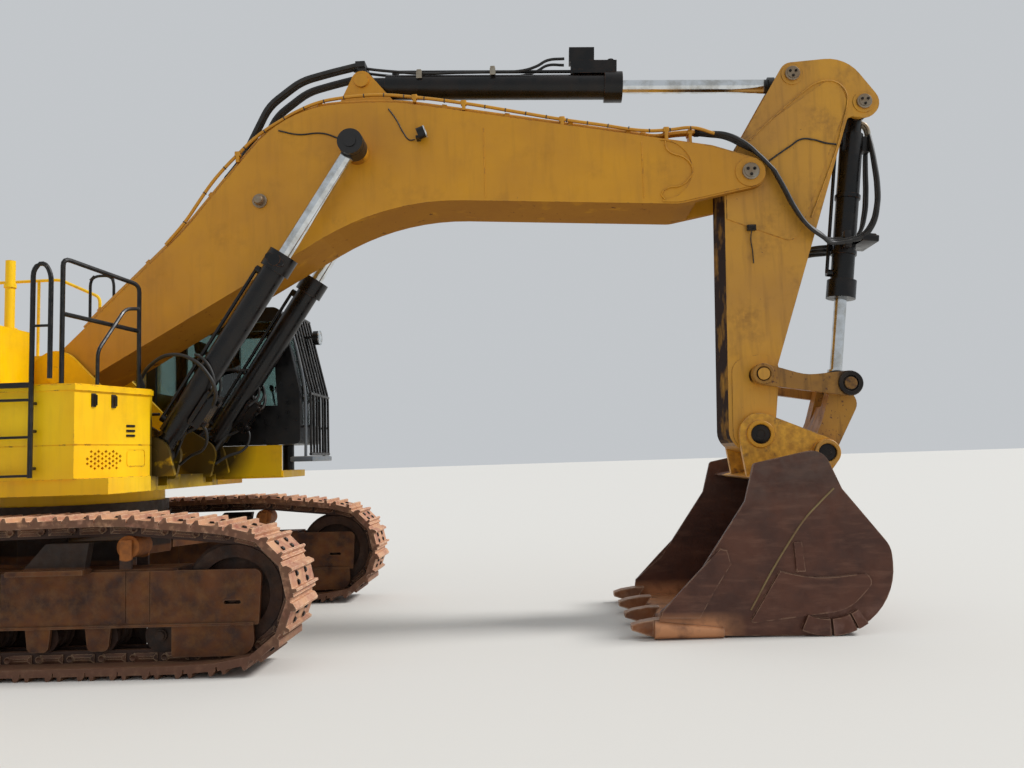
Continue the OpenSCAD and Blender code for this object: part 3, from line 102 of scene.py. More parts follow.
class Look:
    """A material built up in layers over its object coordinates. Its masks run from 0 to 1."""

    def __init__(self, name, base):
        self.material = bpy.data.materials.new(name)
        self.material.use_nodes = True
        self.tree = self.material.node_tree
        self.tree.nodes.clear()
        self.place = self.node("ShaderNodeTexCoord").outputs["Object"]
        self.colour = base

    def node(self, kind, inputs=None, **settings):
        """Adds a node. Settings are its properties, inputs its sockets' links, hex colours or values."""
        node = self.tree.nodes.new(kind)
        for key, value in settings.items():
            setattr(node, key, value)
        for key, value in (inputs or {}).items():
            if isinstance(value, bpy.types.NodeSocket):
                self.tree.links.new(value, node.inputs[key])
            else:
                node.inputs[key].default_value = linear(value) if isinstance(value, str) else value
        return node

    def where(self, *masks):
        """Where all of the masks say."""
        result, *others = masks
        for mask in others:
            result = self.node("ShaderNodeMath", {0: result, 1: mask}, operation="MULTIPLY").outputs[0]
        return result

    def layer(self, colour, *masks, share=1.0):
        """Lays that share of a colour over what is there, where all of the masks say."""
        covered = {0: self.where(*masks, share), 6: self.colour, 7: colour}
        self.colour = self.node("ShaderNodeMix", covered, data_type="RGBA").outputs[2]

    def blotches(self, size_mm, low, high, detail=4.0, roughness=0.55, place=None):
        """Soft patches of about that size, 0 below low and 1 above high."""
        inputs = {"Scale": 1000 / size_mm, "Detail": detail, "Roughness": roughness}
        noise = self.node("ShaderNodeTexNoise", {"Vector": place or self.place, **inputs})
        ends = {"Value": noise.outputs["Fac"], "From Min": low, "From Max": high}
        return self.node("ShaderNodeMapRange", ends).outputs["Result"]

    def gloss(self, mask, first, last):
        """A roughness, or other value, that goes from first to last with a mask."""
        ends = {"Value": mask, "To Min": first, "To Max": last}
        return self.node("ShaderNodeMapRange", ends).outputs["Result"]

    def facing(self, direction, low=0.6, high=0.9):
        """Faces that look along a direction."""
        normal = self.node("ShaderNodeTexCoord").outputs["Normal"]
        level = self.node("ShaderNodeVectorMath", {0: normal, 1: direction}, operation="DOT_PRODUCT")
        ends = {"Value": level.outputs["Value"], "From Min": low, "From Max": high}
        return self.node("ShaderNodeMapRange", ends).outputs["Result"]

    def upward(self):
        """Faces that look up, where dust and earth settle."""
        return self.facing(UP, 0.35)

    def band(self, axis, none, full):
        """0 at none and 1 at full along X, Y or Z, in metres."""
        height = self.node("ShaderNodeSeparateXYZ", {0: self.place}).outputs[axis]
        ends = {"Value": height, "From Min": none, "From Max": full}
        return self.node("ShaderNodeMapRange", ends).outputs["Result"]

    def across(self, middle, reach):
        """Within reach of a line on either side of the machine, at that distance from its middle."""
        value = self.node("ShaderNodeSeparateXYZ", {0: self.place}).outputs["Y"]
        steps = (("ABSOLUTE", 0), ("SUBTRACT", middle), ("ABSOLUTE", 0), ("LESS_THAN", reach))
        for operation, other in steps:
            value = self.node("ShaderNodeMath", {0: value, 1: other}, operation=operation).outputs[0]
        return value

    def round_pin(self, x, z, radius, fade=0.01):
        """Inside a cylinder across the machine, round a pin's axis."""
        flat = self.node("ShaderNodeVectorMath", {0: self.place, 1: (1, 0, 1)}, operation="MULTIPLY")
        axis = (x + AXIS_X, 0, z)
        away = self.node("ShaderNodeVectorMath", {0: flat.outputs[0], 1: axis}, operation="DISTANCE")
        ends = {"Value": away.outputs["Value"], "From Min": radius, "From Max": radius - fade}
        return self.node("ShaderNodeMapRange", ends).outputs["Result"]

    def either(self, first, second):
        """Where one mask or the other says, the stronger of the two."""
        return self.node("ShaderNodeMath", {0: first, 1: second}, operation="MAXIMUM").outputs[0]

    def worn_edges(self, radius_mm, breakup_mm, low=0.45, high=0.6):
        """Along sharp edges, broken up in patches, where handling and blows take the paint off."""
        soft = self.node("ShaderNodeBevel", {"Radius": radius_mm / 1000}, samples=4).outputs[0]
        flat = self.node("ShaderNodeNewGeometry").outputs["Normal"]
        level = self.node("ShaderNodeVectorMath", {0: soft, 1: flat}, operation="DOT_PRODUCT")
        ends = {"Value": level.outputs["Value"], "From Min": 0.985, "From Max": 0.88}
        edge = self.node("ShaderNodeMapRange", ends).outputs["Result"]
        return self.where(edge, self.blotches(breakup_mm, low, high, 6.0))

    def done(self, roughness, bump=(), **inputs):
        """The shader, with its own inputs, and the output; bump is rows of (size in mm, height in mm)."""
        inputs = {name.replace("_", " "): value for name, value in inputs.items()}
        inputs.update({"Base Color": self.colour, "Roughness": roughness})
        for size_mm, height_mm in bump:
            grit = {"Vector": self.place, "Scale": 1000 / size_mm, "Detail": 3.0}
            relief = {"Height": self.node("ShaderNodeTexNoise", grit).outputs["Fac"]}
            relief.update({"Strength": 1.0, "Distance": height_mm / 1000})
            if "Normal" in inputs:
                relief["Normal"] = inputs["Normal"]
            inputs["Normal"] = self.node("ShaderNodeBump", relief).outputs["Normal"]
        shader = self.node("ShaderNodeBsdfPrincipled", inputs)
        self.node("ShaderNodeOutputMaterial", {"Surface": shader.outputs[0]})
        return self.material


# Finishes


def enamel(name, fresh, faded, grime, dust="#C9A878", streaks=0.3, chips=0.705, belly=(), dark_round_feet=False):
    """Sprayed alkyd enamel after years outdoors: faded, rain-streaked, dusty on top, chipped to rust.

    belly is rows of (direction, colour, share, how much of the patches shows) for faces that look one way:
    thrown earth on the stick's back, painted shade on the boom's underside.
    """
    rust = "#5A3A26"
    look = Look(name, fresh)
    look.layer(faded, look.blotches(900, 0.35, 0.7))
    # Rain streaks: patches drawn out to ten times their width down the wall
    tall = look.node("ShaderNodeMapping", {"Vector": look.place, "Scale": (1.0, 1.0, 0.1)}).outputs[0]
    look.layer(grime, look.blotches(75, 0.5, 0.78, 6.0, place=tall), share=streaks)
    smudges = look.where(look.blotches(420, 0.52, 0.72, 6.0), look.blotches(60, 0.35, 0.65))
    look.layer(grime, smudges, share=streaks * 1.3)
    look.layer(dust, look.upward(), look.blotches(260, 0.3, 0.7), share=0.5)
    # Chips 5 to 20 mm wide, and rubbed edges, that show the rusted plate
    look.layer(rust, look.blotches(42, chips, chips + 0.02, 8.0, 0.7))
    look.layer(rust, look.worn_edges(9, 70, 0.52, 0.6))
    if dark_round_feet:
        # Near-black patches round the lift cylinders' feet
        feet = look.where(look.round_pin(1.14, 1.86, 0.52, 0.25), look.across(0, 0.83))
        look.layer("#1C130C", feet, look.blotches(160, 0.2, 0.4, 8.0), share=0.93)
    rough, shine = look.gloss(look.blotches(120, 0.3, 0.7), 0.36, 0.6), 0.32
    # Faces that look down or back at the cab take a flat colour with no gloss: thrown mud on the stick's back
    # faces, painted shade on the boom's underside
    for direction, belly_colour, share, amount in belly:
        below = look.facing(direction)
        look.layer(belly_colour, below, look.blotches(260, amount, amount + 0.3, 8.0), share=share)
        look.layer("#3A160C", below, look.blotches(90, 0.63, 0.66, 8.0, 0.7))
        rough = look.either(rough, below)
        shine = look.gloss(below, 0.5, 0.08)
    return look.done(rough, ((8, 0.2), (420, 2.5)), Coat_Weight=0.03, Specular_IOR_Level=shine)


def earthy_steel(
    name, steel, rust, earth, share=0.4, metallic=0.4, rough=0.5,
    polish=None, polish_mm=14, settle=0.6, coarse=(18, 1.6), painted=None,
):
    """Rolled or cast steel that works in the ground: rust in patches, dried earth in the hollows and on top.

    polish is the colour of edges rubbed bare, painted is (height, colour) of a near-black laid over all above
    a height: black paint where the part is black, painted shade where it only lies in shadow.
    """
    look = Look(name, steel)
    look.layer(rust, look.blotches(240, 0.38, 0.62, 8.0))
    look.layer(earth, look.blotches(110, 0.42, 0.66, 8.0, 0.65), share=share)
    look.layer(earth, look.upward(), look.blotches(150, 0.3, 0.55), share=settle)
    if polish:
        look.layer(polish, look.worn_edges(polish_mm, 90, 0.36, 0.5))
    if painted:
        height, paint = painted
        # Black paint on the frame's step, and painted shade on the carbody and the frame's upper parts, above
        # the height
        look.layer(paint, look.band("Z", height, height + 0.02), share=0.85)
    grain = look.gloss(look.blotches(60, 0.3, 0.7), rough - 0.12, rough + 0.12)
    return look.done(grain, (coarse, (5, 0.5)), Metallic=metallic)


def dark_enamel(name, base, dusty, share, gloss=(0.25, 0.5), metallic=0.0, bare="#6A625A"):
    """Satin dark enamel: grey-brown dust lies on it in patches, and its edges rub to primer."""
    look = Look(name, base)
    look.layer(dusty, look.blotches(180, 0.42, 0.72, 6.0), share=share)
    look.layer(dusty, look.upward(), share=share)
    look.layer(bare, look.worn_edges(6, 60), share=0.7)
    rough = look.gloss(look.blotches(90, 0.3, 0.7), *gloss)
    return look.done(rough, ((10, 0.15),), Metallic=metallic, Specular_IOR_Level=0.35)


def chromed_rod():
    """Hard chrome on a ground rod: a mirror with a thin smear of oil; the cast eyes at the pins are black."""
    look = Look("hard_chrome_rod", "#D9DDE0")
    smear = look.blotches(120, 0.4, 0.7)
    look.layer("#B4B4B0", smear)
    eyes = 0.0
    for x, z, radius in ROD_EYES:
        eye = look.round_pin(x, z, radius)
        look.layer("#1A1817", eye)
        eyes = look.either(eyes, eye)
    rough = look.either(look.gloss(smear, 0.1, 0.26), eyes)
    rough = look.node("ShaderNodeMath", {0: rough, 1: 0.4}, operation="MINIMUM").outputs[0]
    return look.done(rough, Metallic=look.gloss(eyes, 1.0, 0.0))


def cab_glass():
    """Grey-green toughened glass with a film of dust."""
    look = Look("tinted_cab_glass", "#9FB3AF")
    film = look.gloss(look.blotches(240, 0.35, 0.75), 0.02, 0.14)
    return look.done(film, Transmission_Weight=1.0, IOR=1.5)


def hose_rubber():
    """Black synthetic rubber hose: a spiral-wrapped cover, chalky with age."""
    look = Look("hose_rubber", "#0C0C0C")
    look.layer("#262320", look.blotches(70, 0.35, 0.7))
    look.layer("#6E6558", look.upward(), share=0.22)
    return look.done(0.5, ((3, 0.5),))


def seat_cloth():
    """Charcoal woven seat cover: a 3 mm weave, drawn 12 mm wide so that it shows, from two crossed waves."""
    look = Look("seat_cloth", "#191A1D")
    yarn = {"Vector": look.place, "Scale": 26.0, "Distortion": 0.6}
    warp, weft = (look.node("ShaderNodeTexWave", yarn, bands_direction=way).outputs["Fac"] for way in "YZ")
    look.layer("#34353B", warp, weft)
    return look.done(0.88, ((4, 0.6),), Sheen_Weight=0.3)


def moulded_plastic():
    """Grained ABS trim inside the cab, dusty on top."""
    look = Look("moulded_plastic", "#26272A")
    look.layer("#37373A", look.blotches(120, 0.35, 0.7))
    look.layer("#6B6459", look.upward(), share=0.4)
    return look.done(0.55, ((2, 0.25),))


def lamp_glass():
    """Fluted lamp lens over a bright reflector."""
    look = Look("lamp_lens", "#E6EAEB")
    flutes = look.node("ShaderNodeTexWave", {"Vector": look.place, "Scale": 18.0}).outputs["Fac"]
    look.layer("#A9B1B5", flutes)
    return look.done(0.12, Metallic=0.6)


def track_steel():
    """Cast track shoes: dried pinkish earth and edges polished by the ground, with painted shade on the lower
    run, the shoes' ends and the rails' walls.
    """
    look = Look("track_shoe_steel", "#CC9C74")
    look.layer("#A8705A", look.blotches(200, 0.38, 0.62, 8.0))
    look.layer("#CFA282", look.blotches(80, 0.42, 0.66, 8.0, 0.65), share=0.7)
    look.layer("#EBCDAC", look.worn_edges(14, 60, 0.42, 0.56))
    # Painted shade: the shoes near the ground, and the shoes' ends and other faces that look sideways, go
    # dark brown
    look.layer("#5A3A28", look.band("Z", 0.5, 0.2), look.blotches(120, 0.1, 0.4), share=0.75)
    walls = look.either(*(look.facing(direction) for direction in BOTH_WALLS))
    look.layer("#5C3A28", walls, look.blotches(70, 0.2, 0.5), share=0.85)
    # The rails stand within 0.16 m of the track's middle, and only their walls look sideways there; these
    # walls take a deeper painted shade
    look.layer("#3A241A", look.across(TRACK_Y, 0.16), walls)
    return look.done(0.65, ((18, 1.6), (5, 0.5)), Metallic=0.2)


def roller_steel():
    """Carrier rollers: orange rust on the roller's face, dark oily earth on its bracket."""
    look = Look("carrier_roller_steel", "#33221A")
    faces = (look.round_pin(x, CARRIER_Z, CARRIER_R + 0.02) for x in (-CARRIER_X, CARRIER_X))
    look.layer("#A8652A", look.either(*faces))
    look.layer("#5C3A24", look.blotches(60, 0.4, 0.65), share=0.5)
    return look.done(0.7, ((14, 1.2),), Metallic=0.2)


def bucket_plate():
    """Abrasion-resistant plate: red-brown rust scoured along the dig, enamel on the ears, an orange lip."""
    look = Look("bucket_plate", "#472A20")
    look.layer("#5A3526", look.blotches(320, 0.38, 0.62, 8.0))
    # Scour marks: patches drawn out five times as long as wide, along the dig
    dig = {"Vector": look.place, "Rotation": (0, math.radians(35), 0), "Scale": (0.2, 1.0, 1.0)}
    scoured = look.node("ShaderNodeMapping", dig).outputs[0]
    look.layer("#7A5442", look.blotches(60, 0.5, 0.7, 8.0, 0.6, scoured), share=0.4)
    look.layer("#5E5048", look.band("Z", 0.9, 1.6), look.blotches(150, 0.35, 0.6), share=0.5)
    # The ears, between the side plates, kept their enamel, dusty and scratched
    paint = {0: look.blotches(60, 0.35, 0.65), 6: "#E0A638", 7: "#B8822E"}
    scratched = look.node("ShaderNodeMix", paint, data_type="RGBA").outputs[2]
    look.layer(scratched, look.band("Z", 1.36, 1.42), look.across(0, 0.6), look.blotches(130, 0.72, 0.6, 8.0))
    lip = look.where(look.band("Z", 0.24, 0.12), look.band("X", 6.7 + AXIS_X, 6.4 + AXIS_X))
    look.layer("#C88C60", lip, look.blotches(180, 0.2, 0.5), share=0.9)
    shroud = look.where(look.band("Z", 0.3, 0.16), look.band("X", 7.25 + AXIS_X, 7.4 + AXIS_X))
    look.layer("#86645A", shroud, look.blotches(120, 0.45, 0.65), share=0.45)
    look.layer("#94745E", look.worn_edges(18, 90, 0.42, 0.56))
    rough = look.gloss(look.blotches(90, 0.3, 0.7), 0.38, 0.62)
    return look.done(rough, ((40, 1.5), (6, 0.4)), Metallic=0.3)


FINISH = {}
# CAD nodes that take another finish than their slot's
NODE_FINISH = {
    "boom": "weathered_enamel",
    "lift_pin": "weathered_enamel",
    "boom_pipes": "weathered_enamel",
    "stick": "stick_enamel",
    "guide_links": "working_enamel",
    "power_link": "working_enamel",
    "track_frame_right": "frame_steel",
    "track_frame_left": "frame_steel",
    "carrier_rollers": "roller_steel",
    "lift_cylinder_barrels": "cylinder_black",
    "stick_cylinder_barrel": "cylinder_black",
    "bucket_cylinder_barrel": "cylinder_black",
    "bucket_teeth": "tooth_steel",
    "carbody": "frame_steel",
}


def make_finishes():
    # The boom's underside: painted shade, a flat brown with no gloss
    shaded_belly = (((0, 0, -1), "#86561F", 0.75, 0.1),)
    # The stick's back faces: thrown mud
    muddy_back = (((-1, 0, 0), "#2A1810", 1.0, 0.2),)
    FINISH.update(
        yellow=enamel("body_enamel", "#FFD000", "#F2B800", "#9C6A24", streaks=0.18, chips=0.73, dark_round_feet=True),
        # The boom's enamel is the body's yellow made darker: painted shade for its sides, which turn from the
        # light, on top of its weathering
        weathered_enamel=enamel(
            "boom_enamel", "#D39410", "#C0841A", "#7E5218", streaks=0.22, belly=shaded_belly
        ),
        # The stick's enamel is darker in the same way: painted shade, with thrown mud on its back faces
        stick_enamel=enamel(
            "stick_enamel", "#CE9428", "#B98430", "#6A4420", "#9A7448", 0.42, 0.67, muddy_back
        ),
        working_enamel=enamel("linkage_enamel", "#AE7C2C", "#805A32", "#3E2A1A", "#8A6A50", 0.85, 0.6),
        frame_rust=earthy_steel("undercarriage_casting", "#261A14", "#3C2418", "#5A3E28", 0.4, 0.25, 0.75),
        # Near-black above FRAME_TOP: black paint on the step, painted shade on the carbody and the frame's
        # upper parts
        frame_steel=earthy_steel(
            "track_frame_plate", "#382017", "#683C1C", "#7C5228", 0.5, 0.25, 0.75,
            polish="#6E5038", settle=0.35, coarse=(24, 2.2), painted=(FRAME_TOP, "#1B1816"),
        ),
        shoe_steel=track_steel(),
        link_steel=earthy_steel(
            "track_link_forging", "#3A241A", "#5A3826", "#7A563E", polish="#A08468", polish_mm=8
        ),
        roller_steel=roller_steel(),
        ring_steel=earthy_steel("slew_ring_steel", "#3C342E", "#3E2E24", "#5A4A3C", 0.4, 0.6),
        bare_steel=earthy_steel(
            "pin_cover_steel", "#A09A8C", "#8A7660", "#9A8A70", 0.3, 0.7, 0.4, coarse=(12, 0.5)
        ),
        bead_steel=earthy_steel("weld_bead_steel", "#8E7A50", "#7A6040", "#8A7658", 0.3, coarse=(10, 1.0)),
        tooth_steel=earthy_steel(
            "bucket_tooth_casting", "#6E4630", "#8A5430", "#A8886E", 0.35, polish="#C8A68A", polish_mm=25
        ),
        bucket_steel=bucket_plate(),
        engine_grey=dark_enamel("engine_grey_paint", "#56564F", "#6E6256", 0.5),
        pale_enamel=dark_enamel("grey_guard_enamel", "#5C6268", "#8A8478", 0.4),
        dark_fasteners=dark_enamel("oiled_steel_fasteners", "#1E1A18", "#4A3C30", 0.35, metallic=0.4),
        black_paint=dark_enamel("satin_black_enamel", "#09090A", "#403A34", 0.18),
        cylinder_black=dark_enamel(
            "cylinder_enamel", "#070708", "#35281F", 0.3, (0.2, 0.42), bare="#7A4E32"
        ),
        chrome_rod=chromed_rod(),
        cab_glass=cab_glass(),
        lamp_lens=lamp_glass(),
        seat_cloth=seat_cloth(),
        moulded_plastic=moulded_plastic(),
        hose_rubber=hose_rubber(),
    )
    FINISH["seat_fabric"] = FINISH["seat_cloth"]


def dress_frame():
    slots = {row["node"]: row["material_slot"] for row in frame["record"]["subparts"]}
    for name, node in frame["nodes"].items():
        node.data.materials.clear()
        node.data.materials.append(FINISH[NODE_FINISH.get(name, slots[name])])


# Modelling


def begin():
    """Object mode with nothing selected, because an operator acts on all that is selected."""
    if bpy.context.object and bpy.context.object.mode != "OBJECT":
        bpy.ops.object.mode_set(mode="OBJECT")
    bpy.ops.object.select_all(action="DESELECT")


def from_axis(x, y, z):
    """A point in metres from the slewing axis, in the shared frame."""
    return Vector((x + AXIS_X, y, z))


def along(direction):
    """The turn that lays an object's Z along a direction."""
    return Vector(direction).to_track_quat("Z", "Y").to_euler()


def activate(piece):
    begin()
    piece.select_set(True)
    bpy.context.view_layer.objects.active = piece


def pick(piece, *directions):
    """Edit mode, with only those faces selected that look along one of the directions."""
    activate(piece)
    bpy.ops.object.mode_set(mode="EDIT")
    bpy.ops.mesh.select_mode(type="FACE")
    bpy.ops.mesh.select_all(action="DESELECT")
    bpy.ops.object.mode_set(mode="OBJECT")
    for face in piece.data.polygons:
        face.select = any(face.normal.dot(Vector(direction)) > 0.9 for direction in directions)
    bpy.ops.object.mode_set(mode="EDIT")


def raised(piece, directions, *steps):
    """Insets the faces that look along the directions and moves them, once for each (inset, move)."""
    pick(piece, *directions)
    for thickness, move in steps:
        bpy.ops.mesh.inset(thickness=thickness)
        bpy.ops.mesh.extrude_region_move(TRANSFORM_OT_translate={"value": move})
    bpy.ops.object.mode_set(mode="OBJECT")
    return piece


def waisted(piece, thickness, scale):
    """Insets a plate's broad sides and draws their middles in."""
    pick(piece, *BOTH_WALLS)
    bpy.ops.mesh.inset(thickness=thickness)
    bpy.ops.transform.resize(value=scale)
    bpy.ops.object.mode_set(mode="OBJECT")
    return piece


def modify(piece, kind, **settings):
    """Adds a modifier to the active piece and applies it."""
    modifier = piece.modifiers.new("step", kind)
    for key, value in settings.items():
        setattr(modifier, key, value)
    bpy.ops.object.modifier_apply(modifier=modifier.name)


def turned(name, base, direction, rows, sides=24):
    """Stepped rings along a direction from base; rows of (distance along, radius)."""
    begin()
    start, radius = rows[0]
    bpy.ops.mesh.primitive_circle_add(vertices=sides, radius=radius, fill_type="NGON", location=(0, 0, start))
    piece = bpy.context.active_object
    piece.name = name
    bpy.ops.object.transform_apply(location=True)
    bpy.ops.object.mode_set(mode="EDIT")
    bpy.ops.mesh.select_all(action="SELECT")
    for (near, was), (far, now) in zip(rows, rows[1:]):
        bpy.ops.mesh.extrude_region_move(TRANSFORM_OT_translate={"value": (0, 0, far - near)})
        bpy.ops.transform.resize(value=(now / was, now / was, 1))
    bpy.ops.mesh.select_all(action="SELECT")
    bpy.ops.mesh.normals_make_consistent(inside=False)
    bpy.ops.object.mode_set(mode="OBJECT")
    piece.location = base
    piece.rotation_euler = along(direction)
    return piece


def block(name, size, place, turn=(0, 0, 0), edge=0.006):
    """A block with rounded edges, centred on place and turned about it."""
    begin()
    bpy.ops.mesh.primitive_cube_add(size=1)
    piece = bpy.context.active_object
    piece.name = name
    piece.scale = size
    bpy.ops.object.transform_apply(scale=True)
    activate(piece)
    modify(piece, "BEVEL", width=edge, segments=2, limit_method="ANGLE")
    piece.location = place
    piece.rotation_euler = turn
    return piece


def hose(name, points, radius, sides=4):
    """A round tube, 4 x (sides + 1) faces round, along a smooth line through points from the slewing axis."""
    begin()
    bpy.ops.curve.primitive_bezier_curve_add()
    piece = bpy.context.active_object
    piece.name = name
    spline = piece.data.splines[0]
    spline.bezier_points.add(len(points) - 2)
    for knot, point in zip(spline.bezier_points, points):
        knot.co = from_axis(*point)
        knot.handle_left_type = knot.handle_right_type = "AUTO"
    piece.data.bevel_depth = radius
    piece.data.bevel_resolution = sides
    piece.data.resolution_u = 8
    piece.data.use_fill_caps = True
    bpy.ops.object.convert(target="MESH")
    piece = bpy.context.active_object
    activate(piece)
    bpy.ops.object.mode_set(mode="EDIT")
    bpy.ops.mesh.select_all(action="SELECT")
    bpy.ops.mesh.remove_doubles(threshold=0.0001)
    bpy.ops.mesh.normals_make_consistent(inside=False)
    bpy.ops.object.mode_set(mode="OBJECT")
    return piece


def joined(name, pieces):
    begin()
    for piece in pieces:
        piece.select_set(True)
    bpy.context.view_layer.objects.active = pieces[0]
    if len(pieces) > 1:
        bpy.ops.object.join()
    pieces[0].name = name
    return pieces[0]


def copies(name, model, places):
    """Copies of one model, each with its own mesh, at (point, turn) places; the model itself goes."""
    made = []
    for point, turn in places:
        copy = model.copy()
        copy.data = model.data.copy()
        bpy.context.collection.objects.link(copy)
        copy.location = point
        copy.rotation_euler = turn
        made.append(copy)
    bpy.data.objects.remove(model)
    return joined(name, made)


def finish(piece, body, material, smooth=35):
    """Puts the piece's place into its mesh, shades it, gives it its finish and lets it ride on its body."""
    activate(piece)
    bpy.ops.object.transform_apply(location=True, rotation=True, scale=True)
    bpy.ops.object.shade_smooth_by_angle(angle=math.radians(smooth))
    piece.data.materials.clear()
    piece.data.materials.append(FINISH[material])
    if body:
        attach(piece, body)
    return piece


def rubber(name, runs, radius, body=None, sides=4):
    """One piece of hoses, which rides on its body, or on none when no body is given."""
    return finish(joined(name, [hose("run", run, radius, sides) for run in runs]), body, "hose_rubber")


def mirrored(points, side):
    return [(x, side * y, z) for x, y, z in points]


def circle(centre, radius, angles):
    """Points round a centre, in a plane along the machine."""
    return [centre + Vector((radius * math.cos(a), 0, radius * math.sin(a))) for a in angles]


def hex_bolt(radius, height):
    """A hexagon head on its washer."""
    washer = radius * 1.35
    rows = [(-0.004, washer), (0.003, washer), (0.003, radius)]
    rows += [(height * 0.8, radius), (height, radius * 0.8)]
    return turned("bolt", (0, 0, 0), UP, rows, 6)


# Track, pins and fasteners

# Pivot pins with covers: name, (x, y, z) of the pin's end from the slewing axis, radius, body of the cover
PIN_ENDS = (
    ("stick_pin", (7.12, 0.42, 4.47), 0.085, "boom"),
    ("stick_cylinder_pin", (7.63, 0.312, 5.52), 0.075, "stick"),
    ("bucket_cylinder_pin", (8.34, 0.312, 5.19), 0.075, "stick"),
)
# Open pin bores with a raised collar and a sunk pin: name, (x, y, z) of the face, outer and inner radius,
# body, finish of the collar
COLLARS = (
    ("bucket_pin", (7.08, 0.374, 1.82), 0.135, 0.098, "bucket", "weathered_enamel"),
    ("ear_pin", (7.70, 0.43, 1.62), 0.128, 0.088, "bucket", "stick_enamel"),
    ("guide_pin", (7.12, 0.45, 2.41), 0.105, 0.07, "guide_links", "working_enamel"),
    ("link_pin", (7.96, 0.45, 2.29), 0.12, 0.075, "guide_links", "dark_fasteners"),
)
# Rings of a sunk pin: distance along, share of the bore's radius
SUNK_PIN = ((0.0015, 0.97), (0.006, 0.97), (0.01, 0.9), (0.01, 0.45), (0.004, 0.4))
# Shoe bolts: their places along and across a shoe from its middle, and the plate's height over the pitch line
BOLTS_ALONG, BOLTS_ACROSS, SHOE_PLATE = (-0.034, 0.038), (-0.125, 0.125), 0.09
# Final drive cover: its face from the track's middle, its bolts' number and circle
DRIVE_FACE, DRIVE_BOLTS, DRIVE_CIRCLE = 0.246, 12, 0.145
# Link plates stand on the rails' walls, at this distance from the track's middle
RAIL_WALL = 0.113


def chain_line(rows, step=math.radians(6)):
    """The closed line of tangents and arcs round the circles of rows, at most one step apart on an arc."""

    def heading(a, b):
        return math.atan2(b[1] - a[1], b[0] - a[0]) + math.asin((a[2] - b[2]) / math.dist(a[:2], b[:2]))

    line = []
    for i, (x, z, r) in enumerate(rows):
        start, end = heading(rows[i - 1], rows[i]), heading(rows[i], rows[(i + 1) % len(rows)])
        turn = (end - start) % math.tau
        if r < 0 and turn > 0:
            turn -= math.tau
        count = max(1, math.ceil(abs(turn) / step))
        for k in range(count + 1):
            t = start + turn * k / count
            line.append(Vector((x + r * math.sin(t), z - r * math.cos(t))))
    return line


def shoe_frames():
    """Each shoe's middle on the pitch line, the way it runs and its outward direction, in X and Z."""
    line = chain_line(CHAIN)
    line.append(line[0])
    reach = [0.0]
    for a, b in zip(line, line[1:]):
        reach.append(reach[-1] + (b - a).length)
    pitch = reach[-1] / SHOES

    def joint(i):
        s = (i * pitch) % reach[-1]
        k = next(k for k in range(len(line) - 1) if reach[k + 1] >= s)
        share = (s - reach[k]) / max(reach[k + 1] - reach[k], 1e-9)
        return line[k].lerp(line[k + 1], share)

    frames = []
    for i in range(SHOES):
        a, b = joint(i), joint(i + 1)
        ahead = (b - a).normalized()
        frames.append(((a + b) / 2, ahead, Vector((ahead.y, -ahead.x))))
    return frames


def pin_end(name, point, side, radius, body, bolts=3, cover=0.03):
    """The end of a pivot pin: a stepped cover with bolts round its centre, looking along Y."""
    base, out = from_axis(*point), Vector((0, side, 0))
    rows = [(-0.012, 1), (cover * 0.55, 1), (cover * 0.75, 0.93), (cover * 0.75, 0.8), (cover, 0.78)]
    finish(turned(name, base, out, [(far, radius * share) for far, share in rows], 32), body, "bare_steel")
    heads = circle(base + out * cover, radius * 0.45, (math.tau * k / bolts + 0.5 for k in range(bolts)))
    bolt = hex_bolt(radius * 0.16, 0.018)
    finish(copies(name + "_bolts", bolt, [(head, along(out)) for head in heads]), body, "dark_fasteners")


def roller_guards(side, tag):
    """Guards inside the lower rollers, each cut out over a roller's hub; their dark plates also stand for the
    shade between the tracks, where the floor would show bright.
    """
    made = []
    for k in range(8):
        place = from_axis(-1.75 + 0.5 * k, side * (TRACK_Y - 0.2), 0.27)
        made.append(waisted(block("guard", (0.44, 0.014, 0.2), place, edge=0.004), 0.03, (0.85, 1, 0.6)))
    finish(joined(f"roller_guards_{tag}", made), "undercarriage", "frame_rust")


def track_links(side, tag, frames):
    """Link plates on the rails' walls, under each shoe: a waisted bar with a pin at its rear end."""
    plate = waisted(block("link", (0.2, 0.016, 0.078), (0, 0, 0), edge=0.005), 0.016, (0.8, 1, 0.45))
    rows = [(0.0, 0.03), (0.013, 0.03), (0.016, 0.024), (0.01, 0.014)]
    pins = [turned("pin", (-0.104, 0, 0), (0, out, 0), rows, 10) for out in (-1, 1)]
    link = joined("link", [plate] + pins)
    activate(link)
    bpy.ops.object.transform_apply(location=True, rotation=True, scale=True)
    places = []
    for middle, ahead, outward in frames:
        spot = middle - outward * 0.004
        for wall in (-RAIL_WALL, RAIL_WALL):
            turn = (0, -math.atan2(ahead.y, ahead.x), 0)
            places.append((from_axis(spot.x, side * TRACK_Y + wall, spot.y), turn))
    finish(copies(f"track_links_{tag}", link, places), "undercarriage", "link_steel")


